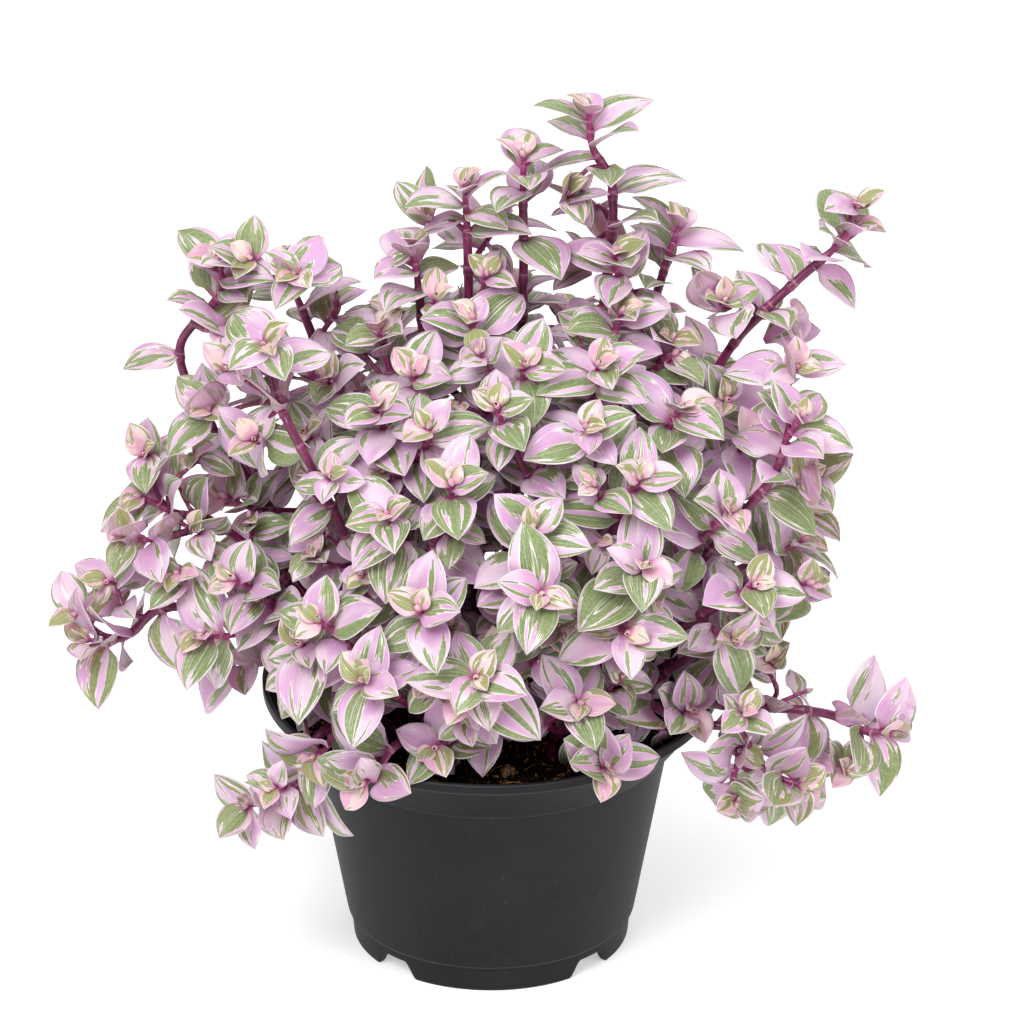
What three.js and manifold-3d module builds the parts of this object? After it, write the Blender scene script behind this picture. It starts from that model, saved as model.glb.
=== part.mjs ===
// A potted tradescantia: a black nursery pot, its soil, and leafy stems that stand in the soil.
// Millimetres, +Z up. The floor is at z = 0, and the front is toward -Y.

import * as THREE from "three";
import { mergeVertices } from "three/addons/utils/BufferGeometryUtils.js";
import Module from "manifold-3d";

const wasm = await Module();
wasm.setup();

// ---------------------------------------------------------------- driving dimensions

const GAP = 0.35; // between pieces that touch on the real thing

// Pot
const POT_SIDES = 32;
const LIP_RADIUS = 77.5;
const POT_HEIGHT = 95.5;
const COLLAR_Z = 75;
const FOOT_RADIUS = 46.5;
const FOOT_HEIGHT = 8.7;
const FLOOR_BOTTOM = 6.8;
const FLOOR_TOP = 8.2;
const NOTCH_TURN = 46; // degrees from the front to the first notch in the foot
const NOTCH_HEIGHT = 6;
const NOTCH_WIDE = 18;
const NOTCH_NARROW = 12;
const DRAIN_WIDTH = 11;
const DRAIN_INNER = 35;
const DRAIN_OUTER = 43.4;

// Soil
const SOIL_SIDES = 16;
const SOIL_TOP = 86;
const SOIL_EDGE = 67.6;
const SOIL_MOUND = 2;
const SOIL_BUMP = 1.1;

// Stems
const STEM_RADIUS = 1.7; // to the corners of the square stem, as is each radius below
const SHOOT_RADIUS = 1.45;
const TIP_RADIUS = 0.9;
const STEM_DEPTH = 22; // of the buried end below the soil's level
const STEM_UPRIGHT = 7; // it rises straight this far above the soil's level
const STEM_CROWN = 0.06; // how far a stem bows upward, as a share of its span
const HOLE_CLEARANCE = 0.6;
const ROOT_SPACING = 6.4;
const ROOT_RING = 55; // the furthest root from the pot's axis
const BARE_STEP = 45; // between rings of the stem below its leaves
const RING_TWIST = 22; // degrees from ring to ring
const TIP_REACH = 13; // the last stretch, in which a stem turns to face outward
const TIP_SHARE = 0.45; // or this much of the way from what it passes last, if that is shorter
const TIP_CLIMB = 0.35; // how far a tip's facing leans up, against one part outward

// Side shoots
const FORK_HALF = 1.3; // the main stem's rings lie this far above and below a side shoot
const FORK_REACH = 6; // from the main stem out to the side shoot's first ring
const FIRST_FORK = 24; // the nearest to the tip that a side shoot leaves
const LAST_FORK = 0.75; // and the furthest from it, as a share of the stem's length
const FORK_SPACING = 5;
const SHOOT_LENGTH = 12; // a side shoot leaves this far, and most of the way between the tips, back
const SHOOT_SHARE = 0.8;
const SHOOT_OUT = 6.5; // it has gone this far out and this far up at its second point
const SHOOT_UP = 5;
const SHOOT_TIP_REACH = 12;
const SHOOT_TIP_SHARE = 0.3;

// Leaves
const BLADE = 0.9; // thickness
const LEAF_HALF_WIDTH = 0.31; // as a share of the length
const LEAF_CUP = 0.26; // how far the edges rise, as a share of the half width
const LEAF_ARCH = 0.2; // the rise of the blade as it leaves the stem
const LEAF_DROOP = 0.3; // and how its tip bends down
const LEAF_SHORTENING = 0.05; // of the bent blade's reach
const LEAF_ROWS = [
  { share: 0.32, wide: 0.95, across: [-1, 0, 1] },
  { share: 0.68, wide: 0.78, across: [-1, 1] },
  { share: 1, wide: 0, across: [0] },
];
// The joints that carry leaves: from the tip down to the top and the foot of the leaf's clasping base,
// the leaf's length, and how many degrees it stands up from square to the stem
const JOINTS = [
  { top: 4, foot: 6.6, leaf: 21.5, lift: 34 },
  { top: 6.6, foot: 10, leaf: 25.5, lift: 20 },
  { top: 16, foot: 18.6, leaf: 27, lift: 12 },
  { top: 30, foot: 32.6, leaf: 26.5, lift: 6 },
];
const MAIN_JOINTS = [0, 1, 2, 3];
const SIDE_JOINTS = [0, 1];
const FACET_ORDER = [1, 3, 0, 2]; // the side of the square stem that each joint's leaf grows from
const JOINT_TO_FORK = 7; // a joint nearer than this to a side shoot has no leaf

// A stem or leaf that would meet another is tried again, each time further from its regular place.
const STEM_TRIES = 900;
const STEM_STRAY = 0.2;
const LEAF_TRIES = 14;
const LEAF_STRAY = 6; // degrees
const LEAF_STRAY_STEP = 4;
const LEAF_STRAY_MOST = 50;
const LEAF_SHRINK = 0.025; // of the length at each further try
const LEAF_GAP = 0.1; // to the other leaves of the same stem
const CLASP_SHARE = 0.16; // of the blade, which may lie against its own stem
const CLASP_WIDE = 0.12;

// The bush: a dome, as its foliage is seen from the front at the view's tilt
const VIEW_TILT = THREE.MathUtils.degToRad(28);
const DOME = { across: 8, depth: 2, height: 88, wide: 112, deep: 108, tall: 148 };

// The leafy stems that are seen from the front. Each tip is [across, rise] or [across, rise, depth]:
// across is to the right of the pot's axis, rise is up the picture plane of the tilted view from the
// base's centre, and depth is behind the axis. With no depth a tip lies on the near side of the dome.
// The first tip ends the stem, the others end its side shoots, and via lists what the stem passes.
const FRONT_STEMS = [
  { name: "crown_right", tips: [[33, 276, 42], [31, 246, 50]], via: [[41, 250, 36]] },
  { name: "crown", tips: [[11, 261, 38]], via: [[11, 215, 34]] },
  { name: "crown_left", tips: [[-9, 251, 34], [2, 240, 46]] },
  { name: "upper_left", tips: [[-27, 231, 28], [-19, 213, 16]] },
  { name: "upper_mid", tips: [[64, 238, 40], [42, 228, 20]] },
  {
    name: "right_branch",
    tips: [[124, 238, 30], [101, 207, 24]],
    via: [[79, 193, 22], [92, 208, 24], [105, 220, 27]],
  },
  { name: "right_arm", tips: [[105, 173, -24]], via: [[77, 131, -30], [96, 154, -28]] },
  { name: "upper_right", tips: [[61, 199], [36, 190]] },
  { name: "shoulder_right", tips: [[64, 176], [32, 169]] },
  { name: "side_right", tips: [[81, 141], [106, 131]] },
  { name: "face_top", tips: [[50, 152], [2, 176]] },
  { name: "low_right", tips: [[89, 116], [82, 97, -58]] },
  { name: "face_right", tips: [[52, 123], [46, 100, -80]] },
  { name: "face_centre", tips: [[14, 135], [17, 113, -90]] },
  { name: "face_left", tips: [[-39, 176], [-21, 169]] },
  { name: "chest_left", tips: [[-35, 140], [-13, 150]] },
  { name: "arch_left", tips: [[-92, 226, 16], [-87, 204, 2]], via: [[-96, 172, 22], [-105, 196, 22]] },
  { name: "top_left", tips: [[-71, 224], [-52, 213]] },
  { name: "crest_left", tips: [[-38, 202, 10], [-26, 187, -14]] },
  { name: "crest", tips: [[-6, 206, 4], [12, 190, -26]] },
  { name: "crest_back", tips: [[10, 217, 46], [-20, 210, 50]] },
  { name: "crest_right", tips: [[44, 208, 8], [62, 194, 4]] },
  { name: "shoulder_left", tips: [[-77, 190]], via: [[-55, 145, -34], [-69, 172, -36]] },
  { name: "side_left", tips: [[-119, 146, 0], [-124, 132, -14]], via: [[-92, 136, -4]] },
  { name: "flank_left", tips: [[-87, 118], [-98, 99, -36]] },
  { name: "far_left", tips: [[-137, 97, -6]], via: [[-72, 100, -4], [-111, 108, -6]] },
  { name: "spill_left", tips: [[-73, 43, -50]], via: [[-44, 70, -42], [-57, 65, -52]] },
  { name: "rim_left", tips: [[-60, 58, -62]], via: [[-46, 72, -46], [-53, 66, -57]] },
  { name: "rim_front_left", tips: [[-43, 49, -76]], via: [[-24, 65, -52], [-33, 61, -68]] },
  { name: "waist_left", tips: [[-43, 84], [-58, 104]] },
  { name: "waist", tips: [[-5, 85], [-24, 108]] },
  { name: "rim_front", tips: [[-19, 61, -70]], via: [[-8, 70, -50]] },
  { name: "rim_front_right", tips: [[40, 53, -76], [30, 76, -78]], via: [[28, 67, -58]] },
  { name: "trail_right", tips: [[136, 66, -35]], via: [[62, 76, -28], [88, 75, -32], [114, 71, -34]] },
  { name: "trail_low", tips: [[105, 48, -57], [83, 42, -62]], via: [[60, 68, -46], [82, 67, -52]] },
];

// The leafy stems on the far side, spread over the dome by a rule
const BACK_STEMS = 12;
const BACK_LOW = 26; // degrees above the soil's level
const BACK_HIGH = 62;
const BACK_FROM = 8; // degrees of heading, where 0 is +X and 90 is the back
const BACK_TO = 172;
const GOLDEN_SHARE = 0.618034; // of the headings, from each stem to the next
const SIDE_SHOOT_TURN = 21; // degrees from the main tip to the side shoots' tips

// Short stems all round below them, but for the front, where the soil shows
const SKIRT_STEMS = 11;
const SKIRT_FROM = -38;
const SKIRT_TO = 212;
const SKIRT_REACH = 86;
const SKIRT_HEIGHT = 118;
const SKIRT_SIDE_TURN = 13;
const SKIRT_SIDE_CLIMB = 26;

// ---------------------------------------------------------------- repeatable draws

// An evenly spread draw from a numeric key, the same for the same key
function draws(...key) {
  let seed = 7;
  const next = () => {
    seed = (seed * 1664525 + 1013904223) % 4294967296;
    return seed / 4294967296;
  };
  for (const part of key) {
    seed = (seed + part * 40503) % 4294967296;
    next();
  }
  next();
  return (low, high) => low + (high - low) * next();
}

// ---------------------------------------------------------------- solids

function toSolid(geometry) {
  const bare = geometry.clone();
  bare.deleteAttribute("normal");
  bare.deleteAttribute("uv");
  const merged = mergeVertices(bare, 1e-4);
  const whole = [];
  const corners = merged.index.array;
  for (let i = 0; i < corners.length; i += 3) {
    const [a, b, c] = corners.slice(i, i + 3);
    if (a !== b && b !== c && c !== a) whole.push(a, b, c);
  }
  return new wasm.Manifold(
    new wasm.Mesh({
      numProp: 3,
      vertProperties: new Float32Array(merged.attributes.position.array),
      triVerts: new Uint32Array(whole),
    }),
  );
}

function toGeometry(solid) {
  const mesh = solid.getMesh();
  const geometry = new THREE.BufferGeometry();
  geometry.setAttribute("position", new THREE.BufferAttribute(mesh.vertProperties, 3));
  geometry.setIndex(new THREE.BufferAttribute(mesh.triVerts, 1));
  geometry.computeVertexNormals();
  return geometry;
}

// LatheGeometry turns about +Y, so it is stood up on +Z. Its vertices start at the seam given.
function turned(profile, sides) {
  const points = profile.map(([radius, height]) => new THREE.Vector2(radius, height));
  return new THREE.LatheGeometry(points, sides).rotateX(Math.PI / 2);
}

// ---------------------------------------------------------------- pot

function potSolid() {
  const profile = [
    [0, FLOOR_BOTTOM],
    [FOOT_RADIUS - 1.9, FLOOR_BOTTOM],
    [FOOT_RADIUS - 2.3, 0],
    [FOOT_RADIUS, 0],
    [FOOT_RADIUS + 0.9, FOOT_HEIGHT],
    [FOOT_RADIUS + 2.1, FOOT_HEIGHT + 1.7],
    [FOOT_RADIUS + 2.8, FOOT_HEIGHT + 4.3],
    [60.7, COLLAR_Z - 0.6],
    [62.2, COLLAR_Z + 0.3],
    [66.5, 80],
    [70.2, 85.2],
    [75.4, 91.5],
    [LIP_RADIUS - 0.3, 92.1],
    [LIP_RADIUS, POT_HEIGHT],
    [LIP_RADIUS - 1.8, POT_HEIGHT],
    [74.6, 93],
    [68.8, 86.3],
    [65, 81],
    [60.6, COLLAR_Z + 1.3],
    [FOOT_RADIUS + 1, FOOT_HEIGHT + 3.8],
    [FOOT_RADIUS - 0.6, FLOOR_TOP],
    [0, FLOOR_TOP],
  ];
  let pot = toSolid(turned(profile, POT_SIDES));
  const notch = new THREE.Shape([
    new THREE.Vector2(-NOTCH_WIDE / 2, -1),
    new THREE.Vector2(NOTCH_WIDE / 2, -1),
    new THREE.Vector2(NOTCH_NARROW / 2, NOTCH_HEIGHT),
    new THREE.Vector2(-NOTCH_NARROW / 2, NOTCH_HEIGHT),
  ]);
  for (let quarter = 0; quarter < 4; quarter++) {
    const turn = THREE.MathUtils.degToRad(NOTCH_TURN + 90 * quarter);
    // The shape stands in XZ and is pushed out along -Y, then turned to its place.
    const cut = new THREE.ExtrudeGeometry(notch, { depth: 12, bevelEnabled: false });
    cut.rotateX(Math.PI / 2).translate(0, -(FOOT_RADIUS - 6), 0).rotateZ(turn);
    const drain = new THREE.BoxGeometry(DRAIN_WIDTH, DRAIN_OUTER - DRAIN_INNER, 6);
    drain.translate(0, -(DRAIN_INNER + DRAIN_OUTER) / 2, FLOOR_TOP - 0.5).rotateZ(turn);
    pot = pot.subtract(toSolid(cut)).subtract(toSolid(drain));
  }
  return pot;
}

// ---------------------------------------------------------------- soil

function soilSolid() {
  const profile = [
    [0, FLOOR_TOP + GAP],
    [FOOT_RADIUS - 1.2, FLOOR_TOP + GAP],
    [FOOT_RADIUS + 0.5, FOOT_HEIGHT + 4],
    [60, COLLAR_Z + 1.4],
    [64.4, 81.2],
    [SOIL_EDGE, 85.6],
    [52, SOIL_TOP],
    [27, SOIL_TOP],
    [0, SOIL_TOP],
  ];
  const geometry = turned(profile, SOIL_SIDES);
  const place = geometry.attributes.position;
  for (let i = 0; i < place.count; i++) {
    const radius = Math.hypot(place.getX(i), place.getY(i));
    if (place.getZ(i) < SOIL_TOP - 1e-3) continue;
    const spot = Math.round(place.getX(i)) * 151 + Math.round(place.getY(i)) + 20000;
    const bump = draws(3, spot)(-SOIL_BUMP, SOIL_BUMP);
    place.setZ(i, SOIL_TOP + SOIL_MOUND * (1 - (radius / SOIL_EDGE) ** 2) + bump);
  }
  return toSolid(geometry);
}

// ---------------------------------------------------------------- where the stems go

const up = new THREE.Vector3(0, 0, 1);

function vector(x, y, z) {
  return new THREE.Vector3(x, y, z);
}

// The nearest point of the dome on the line of sight through a place in the picture plane. A line of
// sight that misses the dome gives the point where it passes closest.
function onDome(across, rise) {
  const slope = Math.tan(VIEW_TILT);
  const height = rise / Math.cos(VIEW_TILT) - DOME.height;
  const share = 1 - ((across - DOME.across) / DOME.wide) ** 2;
  const a = 1 / DOME.deep ** 2 + (slope / DOME.tall) ** 2;
  const b = -2 * DOME.depth / DOME.deep ** 2 - (2 * height * slope) / DOME.tall ** 2;
  const c = (DOME.depth / DOME.deep) ** 2 + (height / DOME.tall) ** 2 - share;
  const inside = Math.max(b * b - 4 * a * c, 0);
  return (-b - Math.sqrt(inside)) / (2 * a);
}

function seen([across, rise, depth = onDome(across, rise)]) {
  const height = (rise - depth * Math.sin(VIEW_TILT)) / Math.cos(VIEW_TILT);
  return vector(across, depth, height);
}

// Which way a tip faces: out from the dome, turned a little up
function facing(tip) {
  const out = vector(
    (tip.x - DOME.across) / DOME.wide ** 2,
    (tip.y - DOME.depth) / DOME.deep ** 2,
    Math.max(tip.z - DOME.height, 0) / DOME.tall ** 2,
  ).normalize();
  return out.addScaledVector(up, TIP_CLIMB).normalize();
}

// A tip on the far side, by its heading and its angle above the soil's level
function farTip(turn, climb) {
  const heading = THREE.MathUtils.degToRad(turn);
  const level = Math.cos(THREE.MathUtils.degToRad(climb));
  return vector(
    DOME.across + DOME.wide * level * Math.cos(heading),
    DOME.depth + DOME.deep * level * Math.sin(heading),
    DOME.height + DOME.tall * Math.sin(THREE.MathUtils.degToRad(climb)),
  );
}

function farStem(number) {
  const name = `back_${number + 1}`;
  const spread = (number + 0.5) / BACK_STEMS;
  const turn = BACK_FROM + (BACK_TO - BACK_FROM) * ((number * GOLDEN_SHARE) % 1);
  const climb = BACK_LOW + (BACK_HIGH - BACK_LOW) * spread;
  const aside = SIDE_SHOOT_TURN / Math.cos(THREE.MathUtils.degToRad(climb));
  const draw = draws(5, number);
  const tips = [
    farTip(turn, climb + draw(-3, 3)),
    farTip(turn + aside, climb + draw(-12, 2)),
    farTip(turn - aside, climb + draw(-12, 2)),
  ];
  return { name, tips, via: [] };
}

function skirtStem(number) {
  const name = `skirt_${number + 1}`;
  const turn = SKIRT_FROM + ((SKIRT_TO - SKIRT_FROM) * number) / (SKIRT_STEMS - 1);
  const draw = draws(6, number);
  const tip = (aside, higher) => {
    const heading = THREE.MathUtils.degToRad(turn + aside + draw(-4, 4));
    const reach = SKIRT_REACH + draw(-6, 10);
    const height = SKIRT_HEIGHT + higher + draw(-8, 8);
    return vector(reach * Math.cos(heading), reach * Math.sin(heading), height);
  };
  return { name, tips: [tip(0, 0), tip(SKIRT_SIDE_TURN, SKIRT_SIDE_CLIMB)], via: [] };
}

const allStems = [
  ...FRONT_STEMS.map(({ name, tips, via = [] }) => ({
    name,
    tips: tips.map(seen),
    via: via.map(seen),
  })),
  ...Array.from({ length: BACK_STEMS }, (_, number) => farStem(number)),
  ...Array.from({ length: SKIRT_STEMS }, (_, number) => skirtStem(number)),
];

// Low tips are rooted near the rim and high ones near the middle.
function rootPlace(tip, toward, draw, stray) {
  const heading = Math.atan2(toward.y, toward.x);
  const climb = Math.atan2(toward.z - SOIL_TOP, Math.hypot(toward.x, toward.y));
  const reach = ROOT_RING * (1 - climb / Math.PI * 1.5);
  const root = vector(reach * Math.cos(heading), reach * Math.sin(heading), SOIL_TOP);
  root.add(vector(draw(-stray, stray), draw(-stray, stray), 0));
  const outside = Math.max(Math.hypot(root.x, root.y) / ROOT_RING, 1);
  return vector(root.x / outside, root.y / outside, SOIL_TOP);
}

// ---------------------------------------------------------------- stems

// A smooth path read by the distance back from its tip. Past its foot it runs straight down.
class Path {
  constructor(points) {
    const curve = new THREE.CatmullRomCurve3(points, false, "centripetal");
    this.samples = curve.getPoints(12 * (points.length - 1)).reverse();
    this.distances = [0];
    for (let i = 1; i < this.samples.length; i++) {
      const step = this.samples[i].distanceTo(this.samples[i - 1]);
      this.distances.push(this.distances[i - 1] + step);
    }
    this.length = this.distances.at(-1);
  }

  at(distance) {
    if (distance >= this.length) {
      return this.samples.at(-1).clone().addScaledVector(up, this.length - distance);
    }
    let i = 1;
    while (this.distances[i] < distance) i++;
    const share = (distance - this.distances[i - 1]) / (this.distances[i] - this.distances[i - 1]);
    return this.samples[i - 1].clone().lerp(this.samples[i], share);
  }

  // Toward the tip
  along(distance) {
    const ahead = this.at(Math.max(distance - 2, 0));
    return ahead.sub(this.at(Math.max(distance, 2) + 2)).normalize();
  }
}

// The last stretch before a tip, between the way it has come and the way the tip faces
function beforeTip(tip, last, reach) {
  const come = tip.clone().sub(last).normalize();
  const turn = facing(tip).multiplyScalar(0.8).add(come).normalize();
  return tip.clone().addScaledVector(turn, -reach);
}

// From the soil up past what the stem passes to its tip
function mainPath({ tips, via }, draw, stray) {
  const root = rootPlace(tips[0], via[0] ?? tips[0], draw, stray);
  const start = root.clone().addScaledVector(up, STEM_UPRIGHT);
  const passes = via.map((point) => point.clone());
  if (passes.length === 0) {
    const middle = start.clone().lerp(tips[0], 0.5);
    passes.push(middle.addScaledVector(up, STEM_CROWN * start.distanceTo(tips[0])));
  }
  for (const point of passes) {
    point.add(vector(draw(-stray, stray), draw(-stray, stray), draw(0, 0.5 * stray)));
  }
  const reach = Math.min(TIP_REACH, TIP_SHARE * passes.at(-1).distanceTo(tips[0]));
  return new Path([root, start, ...passes, beforeTip(tips[0], passes.at(-1), reach), tips[0]]);
}

function squareTo(direction, along) {
  return direction.clone().addScaledVector(along, -direction.dot(along)).normalize();
}

// How far below the main tip each side shoot leaves, with room between them
function forkPlaces(main, tips, draw, stray) {
  const places = tips.map((tip) => {
    const wanted = main.at(0).distanceTo(tip) * SHOOT_SHARE + SHOOT_LENGTH + draw(-stray, stray);
    return { tip, from: Math.min(Math.max(wanted, FIRST_FORK), main.length * LAST_FORK) };
  });
  places.sort((a, b) => a.from - b.from);
  for (let i = 1; i < places.length; i++) {
    places[i].from = Math.max(places[i].from, places[i - 1].from + FORK_SPACING);
  }
  return places;
}

// A side shoot leaves the main stem below its tip and turns out to its own tip.
function sidePath(main, { tip, from }) {
  const start = main.at(from);
  const toward = squareTo(tip.clone().sub(start), main.along(from));
  const second = start.clone().addScaledVector(toward, SHOOT_OUT);
  second.addScaledVector(main.along(from), SHOOT_UP);
  const reach = Math.min(SHOOT_TIP_REACH, second.distanceTo(tip) * SHOOT_TIP_SHARE);
  return { path: new Path([start, second, beforeTip(tip, second, reach), tip]), from, toward };
}

// Where a shoot has rings, by distance from its tip: at the top and foot of each leaf's base and of
// each fork, and every so far down the bare stem. A fork's rings are turned to face its side shoot.
function ringPlan(end, joints, forks) {
  const plan = [{ distance: 0 }];
  for (const { top, foot } of joints.map((joint) => JOINTS[joint])) {
    const free = forks.every(({ from }) => Math.abs(from - foot) > JOINT_TO_FORK);
    if (!free || foot > end - FORK_SPACING) continue;
    for (const distance of [top, foot]) {
      if (plan.at(-1).distance < distance) plan.push({ distance });
    }
  }
  for (const { from, toward } of forks) {
    plan.push({ distance: from - FORK_HALF, toward }, { distance: from + FORK_HALF, toward });
  }
  plan.sort((a, b) => a.distance - b.distance);
  const bare = end - plan.at(-1).distance;
  const steps = Math.max(Math.round(bare / BARE_STEP), 1);
  for (let step = 1; step <= steps; step++) {
    plan.push({ distance: end - bare * (1 - step / steps) });
  }
  return plan;
}

// Square rings along the path, each turned a little further round than the last
function ringsOf(path, radius, plan, phase) {
  const first = path.along(0);
  const apart = Math.abs(first.z) > 0.9 ? vector(1, 0, 0) : up;
  let side = first.clone().cross(apart).normalize();
  let turn = phase;
  return plan.map(({ distance, toward }) => {
    const along = distance > path.length ? up.clone() : path.along(distance);
    side = squareTo(side, along);
    const other = along.clone().cross(side);
    turn += RING_TWIST;
    let forkFacet = 0;
    if (toward) {
      const wanted = THREE.MathUtils.radToDeg(Math.atan2(toward.dot(other), toward.dot(side)));
      turn += THREE.MathUtils.euclideanModulo(wanted - turn + 45, 90) - 45;
      forkFacet = THREE.MathUtils.euclideanModulo(Math.round((wanted - turn) / 90), 4);
    }
    const size = distance === 0 ? TIP_RADIUS : radius;
    const corners = [0, 1, 2, 3].map((corner) => {
      const angle = THREE.MathUtils.degToRad(turn + 90 * corner - 45);
      const spot = path.at(distance).addScaledVector(side, size * Math.cos(angle));
      return spot.addScaledVector(other, size * Math.sin(angle));
    });
    return { distance, along, side, other, turn, corners, forkFacet };
  });
}

// The corners of one facet of a shoot, between a ring and the next: upper two, then lower two
function facetOf(rings, ring, facet) {
  const next = (facet + 1) % 4;
  const [above, below] = [rings[ring].corners, rings[ring + 1].corners];
  return [above[facet], above[next], below[facet], below[next]];
}

// Triangles between two rows of vertex numbers, from their shared start to their shared end
function between(near, far) {
  const triangles = [];
  let i = 0;
  let j = 0;
  while (i + 1 < near.length || j + 1 < far.length) {
    const nextNear = i + 1 < near.length ? (i + 1) / (near.length - 1) : Infinity;
    const nextFar = j + 1 < far.length ? (j + 1) / (far.length - 1) : Infinity;
    if (nextFar < nextNear || (nextFar === nextNear && far.length <= near.length)) {
      triangles.push([near[i], far[j], far[j + 1]]);
      j++;
    } else {
      triangles.push([near[i], far[j], near[i + 1]]);
      i++;
    }
  }
  return triangles;
}

function wall([a, b], [c, d]) {
  return [
    [a, c, d],
    [a, d, b],
  ];
}

// ---------------------------------------------------------------- leaves

// A leaf is rows of points across its upper face, and the same rows below them by the blade's
// thickness. It arches out, folds up a little along its midrib and bends down at its tip.
function leafPoint({ root, out, face, side, length }, share, across) {
  const point = root.clone().addScaledVector(out, length * share * (1 - LEAF_SHORTENING * share));
  point.addScaledVector(side, across);
  const rise = LEAF_ARCH * share - LEAF_DROOP * share * share;
  return point.addScaledVector(face, length * rise + LEAF_CUP * Math.abs(across));
}

function leafRows(leaf) {
  return LEAF_ROWS.map(({ share, wide, across }) => {
    return across.map((place) => leafPoint(leaf, share, place * wide * leaf.width));
  });
}

// Adds a blade to a mesh in the making, from the vertex numbers of its root's upper and lower edges
function growBlade(mesh, upperRoot, lowerRoot, leaf) {
  let upper = upperRoot;
  let lower = lowerRoot;
  for (const row of leafRows(leaf)) {
    const under = row.map((point) => point.clone().addScaledVector(leaf.face, -BLADE));
    const nextUpper = row.map((point) => mesh.points.push(point) - 1);
    const nextLower = under.map((point) => mesh.points.push(point) - 1);
    mesh.triangles.push(...between(upper, nextUpper));
    mesh.triangles.push(...between(lower, nextLower).map(([a, b, c]) => [a, c, b]));
    mesh.triangles.push(...wall([upper[0], nextUpper[0]], [lower[0], nextLower[0]]));
    mesh.triangles.push(...wall([nextUpper.at(-1), upper.at(-1)], [nextLower.at(-1), lower.at(-1)]));
    upper = nextUpper;
    lower = nextLower;
  }
}

function solidFrom({ points, triangles }) {
  const geometry = new THREE.BufferGeometry();
  const places = points.flatMap((point) => [point.x, point.y, point.z]);
  geometry.setAttribute("position", new THREE.Float32BufferAttribute(places, 3));
  geometry.setIndex(triangles.flat());
  return toSolid(geometry);
}

// One leaf by itself, whole or without its root, to see what it would meet
function loneLeaf(leaf, withRoot) {
  const ends = [-CLASP_WIDE, CLASP_WIDE];
  const start = ends.map((across) => leafPoint(leaf, CLASP_SHARE, across * leaf.width));
  const under = start.map((point) => point.clone().addScaledVector(leaf.face, -BLADE));
  const points = withRoot ? [...leaf.facet] : [...start, ...under];
  const mesh = { points, triangles: wall([1, 0], [3, 2]) };
  growBlade(mesh, [0, 1], [2, 3], leaf);
  return solidFrom(mesh);
}

// One try at a leaf: each later try strays further from its regular place and is smaller.
function leafTry({ path, rings, keys }, joint, attempt) {
  const { top, foot, leaf, lift } = JOINTS[joint];
  const ring = rings.findIndex(({ distance }) => distance === top);
  const facetNumber = FACET_ORDER[joint];
  const above = rings[ring];
  const draw = draws(17, ...keys, joint, attempt);
  const stray = LEAF_STRAY + LEAF_STRAY_STEP * attempt;
  const size = draws(13, ...keys)(0.9, 1.1);
  const swing = THREE.MathUtils.clamp(draw(-stray, stray), -LEAF_STRAY_MOST, LEAF_STRAY_MOST);
  const turn = THREE.MathUtils.degToRad(above.turn + RING_TWIST / 2 + 90 * facetNumber + swing);
  const climb = THREE.MathUtils.degToRad(lift + draw(-stray, stray) * 0.7);
  const length = leaf * size * draw(0.92, 1.08) * (1 - LEAF_SHRINK * attempt);
  const radial = above.side.clone().multiplyScalar(Math.cos(turn));
  radial.addScaledVector(above.other, Math.sin(turn));
  const out = radial.clone().multiplyScalar(Math.cos(climb));
  out.addScaledVector(above.along, Math.sin(climb));
  const face = above.along.clone().multiplyScalar(Math.cos(climb));
  face.addScaledVector(radial, -Math.sin(climb));
  const side = face.clone().cross(out);
  const width = length * LEAF_HALF_WIDTH * draw(0.94, 1.08);
  const root = path.at((top + foot) / 2);
  const facet = facetOf(rings, ring, facetNumber);
  return { root, out, face, side, length, width, facet, facetNumber, ring };
}

// ---------------------------------------------------------------- a leafy stem as one solid

function addCap(mesh, [a, b, c, d]) {
  mesh.triangles.push([a, b, c], [a, c, d]);
}

// Joins two rings of four vertex numbers, but for the facets that something grows from
function joinRings(mesh, upper, lower, taken) {
  for (let facet = 0; facet < 4; facet++) {
    const next = (facet + 1) % 4;
    if (taken.includes(facet)) continue;
    mesh.triangles.push(...wall([upper[facet], upper[next]], [lower[facet], lower[next]]));
  }
}

// Adds a shoot with its leaves and forks, and returns the vertex numbers of its lowest ring
function growShoot(mesh, { rings, leaves, forks }) {
  const numbers = rings.map(({ corners }) => corners.map((corner) => mesh.points.push(corner) - 1));
  for (let ring = 0; ring + 1 < rings.length; ring++) {
    const [upper, lower] = [numbers[ring], numbers[ring + 1]];
    const grown = leaves.filter((leaf) => leaf.ring === ring);
    for (const leaf of grown) {
      const pair = [leaf.facetNumber, (leaf.facetNumber + 1) % 4];
      const [above, below] = [upper, lower].map((row) => pair.map((corner) => row[corner]));
      growBlade(mesh, above, below, leaf);
    }
    const taken = grown.map((leaf) => leaf.facetNumber);
    for (const fork of forks.filter((one) => one.ring === ring)) {
      taken.push(fork.facetNumber);
      const [near, far] = [fork.facetNumber, (fork.facetNumber + 1) % 4];
      const around = [upper[near], lower[near], lower[far], upper[far]];
      const foot = growShoot(mesh, fork.shoot);
      joinRings(mesh, foot, nearestTurn(mesh.points, foot, around), []);
    }
    joinRings(mesh, upper, lower, taken);
  }
  addCap(mesh, numbers[0]);
  return numbers.at(-1);
}

// The same four vertex numbers begun from the one that leaves the least twist to the foot
function nearestTurn(points, foot, around) {
  const starts = [0, 1, 2, 3].map((start) => {
    const turned = foot.map((_, corner) => around[(corner + start) % 4]);
    const apart = foot.reduce((sum, corner, i) => sum + points[corner].distanceTo(points[turned[i]]), 0);
    return { turned, apart };
  });
  return starts.sort((a, b) => a.apart - b.apart)[0].turned;
}

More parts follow.
